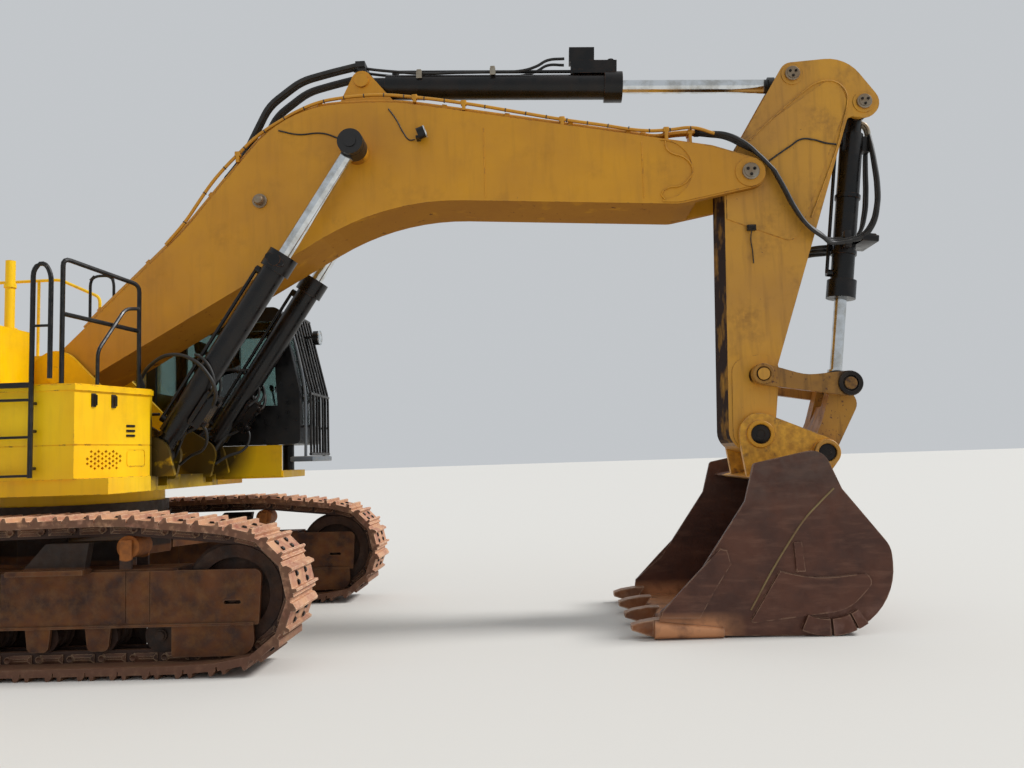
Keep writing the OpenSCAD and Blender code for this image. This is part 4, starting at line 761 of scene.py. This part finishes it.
class EXCAVATOR_OT_fasteners(bpy.types.Operator):
    """Bolts and links of the tracks and drives, roller guards, and covers and collars of the pivot pins"""

    bl_idname = "excavator.fasteners"
    bl_label = "Fasteners"

    def execute(self, context):
        frames = shoe_frames()
        for side, tag in SIDES:
            spots = []
            for middle, ahead, outward in frames:
                turn = along((outward.x, 0, outward.y))
                for run in BOLTS_ALONG:
                    for across in BOLTS_ACROSS:
                        p = middle + ahead * run + outward * SHOE_PLATE
                        spots.append((from_axis(p.x, side * TRACK_Y + across, p.y), turn))
            bolts = copies(f"shoe_bolts_{tag}", hex_bolt(0.021, 0.016), spots)
            finish(bolts, "undercarriage", "dark_fasteners")
            hub = from_axis(-WHEEL_X, side * (TRACK_Y + DRIVE_FACE), WHEEL_Z)
            angles = (math.tau * k / DRIVE_BOLTS for k in range(DRIVE_BOLTS))
            spots = [(spot, along((0, side, 0))) for spot in circle(hub, DRIVE_CIRCLE, angles)]
            bolts = copies(f"drive_bolts_{tag}", hex_bolt(0.016, 0.02), spots)
            finish(bolts, "undercarriage", "dark_fasteners")
        for side, tag in SIDES:
            for name, (x, y, z), radius, body in PIN_ENDS:
                pin_end(f"{name}_{tag}", (x, side * y, z), side, radius, body)
            for name, (x, y, z), outer, inner, body, look in COLLARS:
                face, out = from_axis(x, side * y, z), (0, side, 0)
                rows = [(-0.006, outer), (0.018, outer), (0.026, outer * 0.95)]
                rows += [(0.026, inner * 1.08), (0.02, inner), (0.001, inner)]
                finish(turned(f"{name}_collar_{tag}", face, out, rows, 40), body, look)
                rows = [(far, inner * share) for far, share in SUNK_PIN]
                sunk = turned(f"{name}_sunk_{tag}", face, out, rows, 40)
                finish(sunk, body, "dark_fasteners")
            roller_guards(side, tag)
            track_links(side, tag, frames)
        return {"FINISHED"}


# Hoses and lines

# The lamp and sensor conduit along the boom's top edge: (x, z) from the slewing axis
CONDUIT_Y = -0.36
CONDUIT = (
    (1.1, 3.97), (1.3, 4.2), (1.46, 4.43), (1.58, 4.6), (1.7, 4.74), (1.86, 4.9), (2.07, 5.09), (2.31, 5.24),
    (2.5, 5.34), (2.72, 5.42), (2.94, 5.455), (3.16, 5.47), (3.37, 5.47), (3.64, 5.44), (4.23, 5.34),
    (4.83, 5.21), (5.24, 5.12), (5.61, 5.05), (6.11, 4.96), (6.33, 4.96), (6.58, 4.97), (6.79, 4.9),
)
# Stand-offs under it: x and height
CONDUIT_STANDS = ((1.86, 0.09), (3.72, 0.06), (4.23, 0.08), (5.24, 0.09), (6.3, 0.12))
# Grease and lamp lines laid on the plates: name, body, radius, points from the slewing axis
THIN_LINES = (
    ("lamp_line", "boom", 0.007, (
        (3.72, -0.42, 4.95), (3.66, -0.397, 4.96), (3.6, -0.397, 5.04), (3.53, -0.397, 5.18),
        (3.45, -0.397, 5.30),
    )),
    ("lift_grease_line", "boom", 0.008, (
        (2.3, -0.397, 5.12), (2.5, -0.397, 5.07), (2.76, -0.397, 5.07), (2.95, -0.397, 5.0),
    )),
    ("stick_grease_line", "stick", 0.009, (
        (7.33, -0.307, 4.6), (7.45, -0.308, 4.68), (7.56, -0.308, 4.75), (7.68, -0.308, 4.82),
        (7.8, -0.308, 4.81), (7.92, -0.308, 4.77), (8.03, -0.307, 4.75),
    )),
    ("stick_lower_line", "stick", 0.006, (
        (7.12, -0.33, 3.9), (7.11, -0.309, 3.8), (7.12, -0.308, 3.68), (7.125, -0.307, 3.55),
    )),
)
# Pilot hoses on the stick cylinder: (x, z) from the slewing axis, up to the valve
PILOT_LINE = (
    (3.0, 5.93), (3.2, 5.885), (3.5, 5.84), (3.75, 5.81), (4.15, 5.8), (4.53, 5.79), (4.85, 5.79),
    (5.0, 5.83), (5.12, 5.89),
)
# Hoses that loop from the deck round the lift cylinders' feet: x, y and z from the slewing axis
FOOT_LOOPS = (
    (
        (1.3, 0.46, 1.70), (1.42, 0.5, 1.78), (1.58, 0.56, 1.85), (1.63, 0.6, 1.97), (1.6, 0.62, 2.07),
        (1.5, 0.62, 2.12), (1.4, 0.6, 2.12),
    ),
    (
        (1.22, 0.44, 1.70), (1.33, 0.5, 1.93), (1.42, 0.56, 2.06), (1.48, 0.6, 2.19), (1.49, 0.61, 2.33),
        (1.44, 0.6, 2.4),
    ),
    (
        (0.72, 0.5, 1.70), (0.74, 0.48, 1.9), (0.82, 0.48, 2.06), (0.94, 0.52, 2.16), (1.06, 0.58, 2.2),
        (1.16, 0.61, 2.2),
    ),
)
LIFT_FEED = (
    (0.82, 0.44, 2.3), (0.93, 0.56, 2.52), (1.12, 0.68, 2.7), (1.35, 0.745, 2.77), (1.57, 0.765, 2.7),
    (1.7, 0.765, 2.57), (1.765, 0.745, 2.43), (1.745, 0.69, 2.31), (1.66, 0.62, 2.22),
)
HOSE_RADIUS = 0.021


def conduit_height(x):
    """The height of the conduit above the ground at a place along the boom."""
    for (x0, z0), (x1, z1) in zip(CONDUIT, CONDUIT[1:]):
        if x <= x1:
            break
    return z0 + (z1 - z0) * (x - x0) / (x1 - x0)


def boom_conduit():
    """A yellow conduit on stand-offs along the boom, tied with black straps."""
    made = [hose("conduit", [(x, CONDUIT_Y, z) for x, z in CONDUIT], 0.017)]
    for x, drop in CONDUIT_STANDS:
        z = conduit_height(x)
        made.append(block("stand", (0.035, 0.05, drop), from_axis(x, CONDUIT_Y, z - drop / 2), edge=0.004))
        made.append(block("clip", (0.06, 0.052, 0.055), from_axis(x, CONDUIT_Y, z), edge=0.01))
    finish(joined("boom_conduit", made), "boom", "weathered_enamel")
    straps = []
    rows = [(-0.005, 0.0165), (-0.005, 0.0205), (0.005, 0.0205), (0.005, 0.0165)]
    for x in (1.3 + 0.21 * k for k in range(26)):
        z, ahead = conduit_height(x), 0.02
        direction = (ahead, 0, conduit_height(x + ahead) - z)
        straps.append(turned("strap", from_axis(x, CONDUIT_Y, z), direction, rows, 12))
    finish(joined("conduit_straps", straps), "boom", "moulded_plastic")


def boom_pipe_ends(side, tag):
    """Pipe ends that carry the boom's hard pipes on to the hoses, their sleeves, nuts and stands."""
    made, nuts = [], []
    nut_rows = [(0, 0.022), (0.004, 0.03), (0.05, 0.03), (0.055, 0.025), (0.09, 0.025)]
    for k, y in enumerate((0.235, 0.267, 0.3)):
        start = (6.066, 0.235 if k == 0 else 0.3, 4.944)
        run = (start, (6.2, y, 4.925), (6.4, y, 4.945), (6.63, y, 4.95))
        made.append(hose("run", mirrored(run, side), 0.02))
        nuts.append(turned("nut", from_axis(6.6, side * y, 4.95), (1, 0, -0.05), nut_rows, 6))
    for y in (0.235, 0.3):
        rows = [(0, 0.023), (0.003, 0.028), (0.05, 0.028), (0.053, 0.023)]
        made.append(turned("sleeve", from_axis(6.045, side * y, 4.948), (1, 0, -0.18), rows, 16))
    y, top = side * 0.267, 4.93
    for x, low in ((6.3, 4.855), (6.55, 4.745)):
        made.append(block("stand", (0.03, 0.13, top - low), from_axis(x, y, (top + low) / 2), edge=0.004))
        made.append(block("clamp", (0.05, 0.14, 0.05), from_axis(x, y, 4.942), edge=0.008))
    finish(joined(f"boom_pipe_ends_{tag}", made), "boom", "weathered_enamel")
    finish(joined(f"boom_hose_nuts_{tag}", nuts), "boom", "dark_fasteners")


def elbow(name, points, radius, body):
    """A short bent steel pipe with a hexagon nut at each end."""
    parts = [hose("elbow", points, radius)]
    line = [from_axis(*p) for p in points]
    for end, after in ((line[0], line[1]), (line[-1], line[-2])):
        away = (after - end).normalized()
        rows = [(0, radius * 1.5), (0.034, radius * 1.5), (0.038, radius * 1.3)]
        parts.append(turned("nut", end - away * 0.012, away, rows, 6))
    return finish(joined(name, parts), body, "bare_steel")


class EXCAVATOR_OT_hoses(bpy.types.Operator):
    """Hoses, conduit and lines on the boom, the stick, the stick cylinder and the bucket cylinder"""

    bl_idname = "excavator.hoses"
    bl_label = "Hoses"

    def execute(self, context):
        for side, tag in SIDES:
            runs = []
            for k in range(3):
                y, drop = 0.335 + 0.045 * k, 0.03 * k
                run = [(6.62, 0.235 + 0.032 * k, 4.95), (6.75, 0.25 + 0.036 * k, 4.925), (6.9, y, 4.86)]
                run += [(7.07, y, 4.77), (7.23, y, 4.67 - drop), (7.36, y, 4.52 - drop)]
                runs.append(mirrored(run, side))
            piece = rubber(f"boom_to_stick_hoses_{tag}", runs, HOSE_RADIUS)
            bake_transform(piece)
            boom_pipe_ends(side, tag)
            runs = []
            for k in range(3):
                y, drop, inner = 0.335 + 0.045 * k, 0.03 * k, 0.17 + 0.045 * k
                run = [(7.36, y, 4.52), (7.45, y, 4.33), (7.54, y, 4.13), (7.66, y, 3.94)]
                run += [(7.80, y * 0.95, 3.83), (7.95, inner, 3.80), (8.14, inner, 3.81)]
                runs.append(mirrored([(x, y, z - drop) for x, y, z in run], side))
            piece = rubber(f"stick_hoses_{tag}", runs, HOSE_RADIUS)
            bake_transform(piece)
        boom_conduit()
        for name, body, radius, points in THIN_LINES:
            rubber(name, [points], radius, body, 3)
        for y, lift, tag in ((-0.09, 0.0, "right"), (0.06, 0.015, "left")):
            run = [(x, y, z + lift) for x, z in PILOT_LINE] + [(5.3, y, 5.9)]
            rubber(f"crowd_pilot_hose_{tag}", [run], 0.015, "stick_barrel", 3)
        made = []
        for x in (3.74, 4.53):
            made.append(block("bridge", (0.05, 0.24, 0.05), from_axis(x, -0.015, 5.815), edge=0.006))
            made.append(block("tab", (0.06, 0.01, 0.075), from_axis(x, -0.138, 5.775), edge=0.003))
        finish(joined("crowd_hose_clamps", made), "stick_barrel", "bare_steel")
        runs = []
        for y in (-0.20, -0.145, 0.145, 0.20):
            drop = 0.03 if abs(y) > 0.18 else 0.0
            run = [(8.12, y, 3.80 - drop), (8.27, y, 3.83 - drop), (8.38, y, 3.94 - drop), (8.45, y, 4.13)]
            run += [(8.474, y * 0.9, 4.35), (8.474, y * 0.7, 4.6), (8.472, y * 0.45, 4.8)]
            runs.append(run + [(8.472, y * 0.2 - 0.001, 4.93)])
        rubber("bucket_cylinder_hoses", runs, HOSE_RADIUS, "bucket_barrel")
        return {"FINISHED"}


class EXCAVATOR_OT_cylinder_fittings(bpy.types.Operator):
    """Elbows, manifold and clamps of the bucket cylinder, and the hoses of the lift cylinders"""

    bl_idname = "excavator.cylinder_fittings"
    bl_label = "Cylinder fittings"

    def execute(self, context):
        for y, tag in ((-0.03, "right"), (0.03, "left")):
            bend = ((8.472, 4.90), (8.472, 4.985), (8.45, 5.04), (8.405, 5.07), (8.36, 5.075))
            elbow(f"bucket_port_elbow_{tag}", [(x, y, z) for x, z in bend], 0.02, "bucket_barrel")
        place = from_axis(8.35, 0, 3.79)
        saddle = block("bucket_hose_manifold", (0.17, 0.44, 0.07), place, (0, 0.12, 0), 0.012)
        finish(raised(saddle, [UP], (0.018, (0, 0, 0.012))), "bucket_barrel", "cylinder_black")
        for side, tag in SIDES:
            place = from_axis(8.12, side * 0.165, 3.79)
            clamp = block(f"bucket_hose_clamp_{tag}", (0.07, 0.1, 0.17), place, edge=0.01)
            finish(clamp, "bucket_barrel", "cylinder_black")
        # Lift cylinders: hoses from the frame to the valve blocks and along the barrels
        for side, tag in SIDES:
            runs = []
            for k in range(3):
                y, rise = 0.56 + 0.04 * k, 0.05 * k
                run = [(0.98, 0.49 + 0.03 * k, 1.72), (1.16, 0.5, 1.98 + 0.04 * k), (1.42, y, 2.02 + rise)]
                run += [(1.62, y, 2.16 + rise), (1.70, y, 2.40), (1.62, y, 2.52)]
                runs.append(mirrored(run, side))
            piece = rubber(f"lift_foot_hoses_{tag}", runs, 0.017)
            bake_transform(piece)
            runs = []
            for k, y in enumerate((0.52, 0.69)):
                run = [(1.55, y, 2.74 + 0.03 * k), (1.63, y + 0.04, 2.73), (1.72, y + 0.05, 2.62)]
                runs.append(mirrored(run + [(1.75, y + 0.04, 2.44), (1.66, y - 0.02, 2.33)], side))
            rubber(f"lift_barrel_hoses_{tag}", runs, 0.015, "lift_barrels")
            piece = rubber(f"lift_foot_loops_{tag}", [mirrored(points, side) for points in FOOT_LOOPS], 0.015)
            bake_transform(piece)
            piece = rubber(f"lift_feed_hose_{tag}", [mirrored(LIFT_FEED, side)], 0.018)
            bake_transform(piece)
        return {"FINISHED"}


# Cab

CAB_Y = 1.25  # the cab's middle and its seat's
# Rings of the turned pieces: distance along, radius
SEAT_BASE = (
    (0, 0.21), (0.03, 0.21), (0.05, 0.17), (0.1, 0.185), (0.13, 0.165), (0.18, 0.185), (0.21, 0.165),
    (0.26, 0.22), (0.3, 0.22),
)
LEVER = (
    (0, 0.045), (0.03, 0.032), (0.05, 0.012), (0.13, 0.011), (0.15, 0.026), (0.2, 0.03), (0.25, 0.026),
    (0.265, 0.014),
)
KNOB = ((0, 0.012), (0.01, 0.022), (0.05, 0.027), (0.08, 0.02))
LENS = ((0, 1.06), (0.012, 1.06), (0.012, 0.9), (0.002, 0.86), (0.012, 0.6), (0.017, 0.25))
# The guard's inner rails: (x, z) from the slewing axis
GUARD_RAILS = (
    ((2.02, 3.32), (2.12, 2.95), (2.195, 2.53), (2.205, 2.16), (2.2, 1.74)),
    ((1.96, 3.22), (2.06, 2.91), (2.11, 2.53), (2.13, 1.98)),
)


def plastic(piece, body="upper"):
    return finish(piece, body, "moulded_plastic")


def pillow(name, size, place, lean=0.0, rise=0.022):
    pad = block(name, size, (0, 0, 0), edge=min(size) * 0.3)
    activate(pad)
    modify(pad, "REMESH", mode="VOXEL", voxel_size=0.014)
    before = [v.co.copy() for v in pad.data.vertices]
    cloth = pad.modifiers.new("foam", "CLOTH")
    cloth.settings.use_pressure = True
    cloth.settings.uniform_pressure_force = 4
    cloth.settings.effector_weights.gravity = 0
    for number in range(1, 21):
        bpy.context.scene.frame_set(number)
    bpy.ops.object.modifier_apply(modifier="foam")
    bpy.context.scene.frame_set(1)
    for vertex, old in zip(pad.data.vertices, before):
        swell = vertex.co - old
        if swell.length > rise:
            vertex.co = old + swell * (rise / swell.length)
    modify(pad, "SUBSURF", levels=1, render_levels=1)
    pad.location = place
    pad.rotation_euler = (0, lean, 0)
    finish(pad, "upper", "seat_cloth", smooth=60)
    return pad


class EXCAVATOR_OT_cab_fittings(bpy.types.Operator):
    """Seat, consoles, levers, display, pedals, guard frame, step, wiper, door handle and the lamp lenses"""

    bl_idname = "excavator.cab_fittings"
    bl_label = "Cab fittings"

    def execute(self, context):
        base = plastic(turned("seat_base", from_axis(1.1, CAB_Y, 1.951), UP, SEAT_BASE, 32))
        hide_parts("cab_seat")
        pillow("seat_cushion", (0.48, 0.46, 0.12), from_axis(1.12, CAB_Y, 2.33), lean=-0.06)
        pillow("seat_back", (0.1, 0.42, 0.58), from_axis(0.86, CAB_Y, 2.72), lean=-0.12)
        pillow("seat_headrest", (0.08, 0.26, 0.15), from_axis(0.81, CAB_Y, 3.11), lean=-0.12, rise=0.012)
        for side, tag in SIDES:
            y = CAB_Y + side * 0.33
            place = from_axis(1.12, y, 2.37)
            console = block(f"console_{tag}", (0.5, 0.13, 0.28), place, (0, -0.05, 0), 0.02)
            plastic(raised(console, [UP], (0.02, (0, 0, 0.03))))
            plastic(turned(f"lever_{tag}", from_axis(1.32, y, 2.52), (0.15, 0, 1), LEVER, 16))
        display = block("display", (0.05, 0.24, 0.17), from_axis(1.86, 0.98, 2.62), (0, -0.25, 0.3), 0.01)
        plastic(raised(display, [(-1, 0, 0)], (0.018, (0.004, 0, 0))))
        plastic(hose("display_stalk", [(1.92, 0.98, 1.955), (1.95, 0.98, 2.25), (1.89, 0.98, 2.55)], 0.018))
        # Travel pedals and their levers
        for y, tag in ((1.15, "right"), (1.35, "left")):
            plastic(block(f"pedal_{tag}", (0.22, 0.11, 0.02), from_axis(1.78, y, 2.06), (0, -0.5, 0)))
            plastic(hose(f"pedal_rod_{tag}", [(1.76, y, 1.955), (1.77, y, 2.2), (1.72, y, 2.55)], 0.011))
            plastic(turned(f"pedal_knob_{tag}", from_axis(1.72, y, 2.54), (-0.2, 0, 1), KNOB, 16))
        # The guard's light inner frame and its foot
        rails = []
        for y in (0.845, 1.655):
            for points in GUARD_RAILS:
                rails.append(hose("rail", [(x, y, z) for x, z in points], 0.017, 3))
        finish(joined("guard_inner_frame", rails), "upper", "pale_enamel")
        step = block("cab_front_step", (0.26, 0.88, 0.055), from_axis(2.16, CAB_Y, 1.725), edge=0.008)
        finish(raised(step, [UP], (0.02, (0, 0, -0.006))), "upper", "pale_enamel")
        # Wiper on the front pane
        plastic(hose("wiper_arm", [(2.165, 1.0, 2.16), (2.17, 1.1, 2.4), (2.165, 1.2, 2.46)], 0.008))
        blade = block("wiper_blade", (0.018, 0.02, 0.62), from_axis(2.162, 1.21, 2.44), (0.25, 0, 0), 0.004)
        finish(blade, "upper", "hose_rubber")
        grip = [(1.86, 1.71, 2.42), (1.86, 1.755, 2.44), (1.85, 1.76, 2.56)]
        grip += [(1.85, 1.755, 2.68), (1.85, 1.71, 2.7)]
        plastic(hose("cab_door_handle", grip, 0.012), "cab_door")
        # Lamp lenses: name, body, centre of the lamp's face, direction, radius
        tilt = math.radians(70)
        ahead = Vector((math.sin(tilt), 0, math.cos(tilt)))
        for name, body, face, direction, radius in (
            ("cab_lamp_lens", "upper", from_axis(2.28, 1.22, 3.18), Vector((1, 0, 0)), 0.085),
            ("boom_lamp_lens", "boom", from_axis(3.76, -0.49, 4.98) + ahead * 0.08, ahead, 0.06),
        ):
            rows = [(far, radius * share) for far, share in LENS]
            finish(turned(name, face - direction * 0.004, direction, rows, 32), body, "lamp_lens")
        return {"FINISHED"}


# Body

# A bow handle on the hood: X and Z, with Y from its own middle
HOOD_HANDLE = (
    (-1.53, -0.1, 3.16), (-1.5, -0.09, 3.2), (-1.49, 0, 3.21), (-1.5, 0.09, 3.2), (-1.53, 0.1, 3.16),
)


def on_box_face(along_face, height):
    """A point 4 mm off the tool box's slanted face: metres from its outer corner, and height."""
    corner, inner = Vector((0.89, -1.65)), Vector((1.17, -0.85))
    run = (inner - corner).normalized()
    p = corner + run * along_face + Vector((run.y, -run.x)) * 0.004
    return from_axis(p.x, p.y, height)


def latch(name, place, turn, body):
    """A draw latch: a plate, a raised lever and a rounded catch."""
    plate = block(name, (0.012, 0.05, 0.12), place, turn, 0.004)
    raised(plate, [(1, 0, 0)], (0.012, (0.018, 0, 0)), (0.004, (-0.006, 0, 0)))
    return finish(plate, body, "dark_fasteners")


class EXCAVATOR_OT_body_fittings(bpy.types.Operator):
    """Latches, handles and vents of the tool box, the doors and the hood"""

    bl_idname = "excavator.body_fittings"
    bl_label = "Body fittings"

    def execute(self, context):
        lean = math.atan2(0.8, 0.28) - math.pi / 2
        for k, spot in enumerate((0.2, 0.42)):
            latch(f"tool_box_latch_{k}", on_box_face(spot, 2.29), (0, 0, lean), "upper")
        for k in range(3):
            place = on_box_face(0.62, 1.98 + 0.045 * k)
            bar = block(f"tool_box_vent_{k}", (0.012, 0.1, 0.022), place, (0, 0, lean), 0.005)
            finish(bar, "upper", "dark_fasteners")
        for side, tag in ((-1, "pump"), (1, "radiator")):
            for k, z in enumerate((2.1, 2.6)):
                place = from_axis(-1.46, side * 1.608, z)
                latch(f"{tag}_door_latch_{k}", place, (0, 0, side * math.pi / 2), f"{tag}_door")
        for side, tag in SIDES:
            y = side * 0.35
            bow = [(x, y + off, z) for x, off, z in HOOD_HANDLE]
            finish(hose(f"hood_handle_{tag}", bow, 0.011), "hood_lid", "dark_fasteners")
        return {"FINISHED"}


# Weld beads: X and Z from the slewing axis

# Seams across the boom's side plates: X, lower and upper end
BOOM_SEAMS = ((4.43, 4.32, 5.05), (6.04, 4.25, 4.84))
# Curved beads: name, distance from the middle, radius, curve steps, body, finish, points
BEADS = (
    ("bucket_cheek_bead", 1.021, 0.009, 2, "bucket", "bead_steel", (
        (7.54, 1.30), (7.4, 1.17), (7.27, 1.04), (7.10, 0.81), (6.92, 0.54), (6.83, 0.39), (6.74, 0.24),
    )),
    ("stick_head_bead", 0.306, 0.007, 3, "stick", "stick_enamel", (
        (7.15, 4.83), (7.43, 5.08), (7.74, 5.33), (7.87, 5.41), (7.98, 5.43), (8.07, 5.41), (8.13, 5.36),
        (8.17, 5.28), (8.17, 5.2), (8.1, 4.94), (8.03, 4.71), (7.97, 4.56), (7.73, 4.0),
    )),
    ("boom_tip_bead", 0.401, 0.007, 3, "boom", "weathered_enamel", (
        (6.28, 4.83), (6.29, 4.75), (6.34, 4.7), (6.46, 4.65), (6.53, 4.57), (6.54, 4.49), (6.49, 4.41),
        (6.39, 4.35), (6.29, 4.34), (6.22, 4.28), (6.25, 4.22),
    )),
)
# Rings of the cap on the boom's side plate
SIDE_CAP = (
    (-0.002, 0.075), (0.012, 0.075), (0.016, 0.07), (0.016, 0.052), (0.05, 0.05), (0.07, 0.038),
    (0.075, 0.02), (0.075, 0.0),
)


class EXCAVATOR_OT_weld_beads(bpy.types.Operator):
    """Weld beads, caps and grease blocks on the boom, the stick and the bucket"""

    bl_idname = "excavator.weld_beads"
    bl_label = "Weld beads"

    def execute(self, context):
        for side, tag in SIDES:
            y, out = side * 0.391, Vector((0, side, 0))
            seams = []
            for x, low, high in BOOM_SEAMS:
                run = [(x, y, low), (x, y, (low + high) / 2), (x, y, high)]
                seams.append(hose("run", run, 0.006, 2))
            finish(joined(f"boom_seams_{tag}", seams), "boom", "weathered_enamel")
            for name, y, radius, steps, body, look, points in BEADS:
                bead = hose(f"{name}_{tag}", [(x, side * y, z) for x, z in points], radius, steps)
                finish(bead, body, look)
            place = from_axis(7.12, side * 0.318, 3.915)
            grease = block(f"stick_grease_block_{tag}", (0.09, 0.04, 0.06), place)
            finish(raised(grease, BOTH_WALLS, (0.012, out * 0.012)), "stick", "dark_fasteners")
            face = from_axis(2.1, side * 0.397, 4.38)
            parts = [turned("cap", face, out, SIDE_CAP, 28)]
            for spot in circle(face + out * 0.012, 0.062, (0.8, 2.9, 5.0)):
                parts.append(turned("nut", spot, out, [(0, 0.009), (0.008, 0.009), (0.009, 0.007)], 6))
            finish(joined(f"boom_side_cap_{tag}", parts), "boom", "bare_steel")
        return {"FINISHED"}


# Stage


def aim(position, target):
    return (Vector(target) - Vector(position)).to_track_quat("-Z", "Y").to_euler()


class ExcavatorStage(bpy.types.PropertyGroup):
    fill: FloatProperty(name="Fill", description="Strength of the world's even light", default=0.7, min=0)
    key: FloatProperty(name="Key", description="Strength of the key light", default=2.6, min=0)
    camera_place: FloatVectorProperty(
        name="Camera place",
        description="Where the photograph was taken from",
        default=(2.675, -8.764, 1.668),
        subtype="TRANSLATION",
    )
    camera_turn: FloatVectorProperty(
        name="Camera turn", description="Yaw, pitch and roll in degrees", default=(-1.91, 4.99, 1.8)
    )
    lens: FloatProperty(
        name="Lens", description="Focal length in millimetres on a 36 mm frame", default=29.53, min=1
    )


class EXCAVATOR_OT_stage(bpy.types.Operator):
    """Adds the floor, the soft lights and the photograph's camera"""

    bl_idname = "excavator.stage"
    bl_label = "Stage"

    def execute(self, context):
        sizes = context.scene.excavator_stage
        bpy.ops.object.select_all(action="DESELECT")
        bpy.ops.mesh.primitive_plane_add(size=400, location=(0, 0, 0))
        floor = context.active_object
        floor.name = "floor"
        floor.data.materials.append(Look("pale_floor", "#D9D6D0").done(0.8))

        world = bpy.data.worlds.new("studio")
        context.scene.world = world
        world.use_nodes = True
        background = world.node_tree.nodes["Background"]
        background.inputs["Color"].default_value = linear("#E4E8EC")
        background.inputs["Strength"].default_value = sizes.fill
        bpy.ops.object.light_add(type="SUN", location=(8, -6, 12), rotation=aim((9, 0.4, 8.5), (0, 0, 0)))
        sun = context.active_object
        sun.name = "key_light"
        sun.data.energy = sizes.key
        sun.data.angle = math.radians(12)

        bpy.ops.object.camera_add(location=sizes.camera_place)
        camera = context.active_object
        camera.name = "photo_camera"
        yaw, pitch, roll = (math.radians(a) for a in sizes.camera_turn)
        right = Vector((math.cos(yaw), -math.sin(yaw), 0))
        ahead = Vector((math.sin(yaw) * math.cos(pitch), math.cos(yaw) * math.cos(pitch), math.sin(pitch)))
        up = right.cross(ahead)
        x_axis = right * math.cos(roll) - up * math.sin(roll)
        y_axis = right * math.sin(roll) + up * math.cos(roll)
        camera.rotation_euler = Matrix((x_axis, y_axis, -ahead)).transposed().to_euler()
        camera.data.sensor_width = 36
        camera.data.lens = sizes.lens
        context.scene.camera = camera
        context.scene.view_settings.view_transform = "Standard"
        return {"FINISHED"}


class EXCAVATOR_OT_finishes(bpy.types.Operator):
    """Makes the finishes and puts them on the CAD frame"""

    bl_idname = "excavator.finishes"
    bl_label = "Finishes"

    def execute(self, context):
        make_finishes()
        dress_frame()
        return {"FINISHED"}


class EXCAVATOR_PT_panel(bpy.types.Panel):
    bl_label = "Crawler excavator"
    bl_idname = "EXCAVATOR_PT_panel"
    bl_space_type = "VIEW_3D"
    bl_region_type = "UI"
    bl_category = "Excavator"

    def draw(self, context):
        for step in STEPS:
            self.layout.operator(step.bl_idname)


STEPS = (
    EXCAVATOR_OT_finishes,
    EXCAVATOR_OT_fasteners,
    EXCAVATOR_OT_hoses,
    EXCAVATOR_OT_cylinder_fittings,
    EXCAVATOR_OT_cab_fittings,
    EXCAVATOR_OT_body_fittings,
    EXCAVATOR_OT_weld_beads,
    EXCAVATOR_OT_stage,
)
GROUPS = {"excavator_stage": ExcavatorStage}


def register():
    for kind in (*GROUPS.values(), *STEPS, EXCAVATOR_PT_panel):
        bpy.utils.register_class(kind)
    for name, group in GROUPS.items():
        setattr(bpy.types.Scene, name, PointerProperty(type=group))


def unregister():
    for name in GROUPS:
        delattr(bpy.types.Scene, name)
    for kind in (EXCAVATOR_PT_panel, *STEPS, *GROUPS.values()):
        bpy.utils.unregister_class(kind)


def main():
    register()
    for step in STEPS:
        group, name = step.bl_idname.split(".")
        getattr(getattr(bpy.ops, group), name)()


if __name__ == "__main__":
    main()
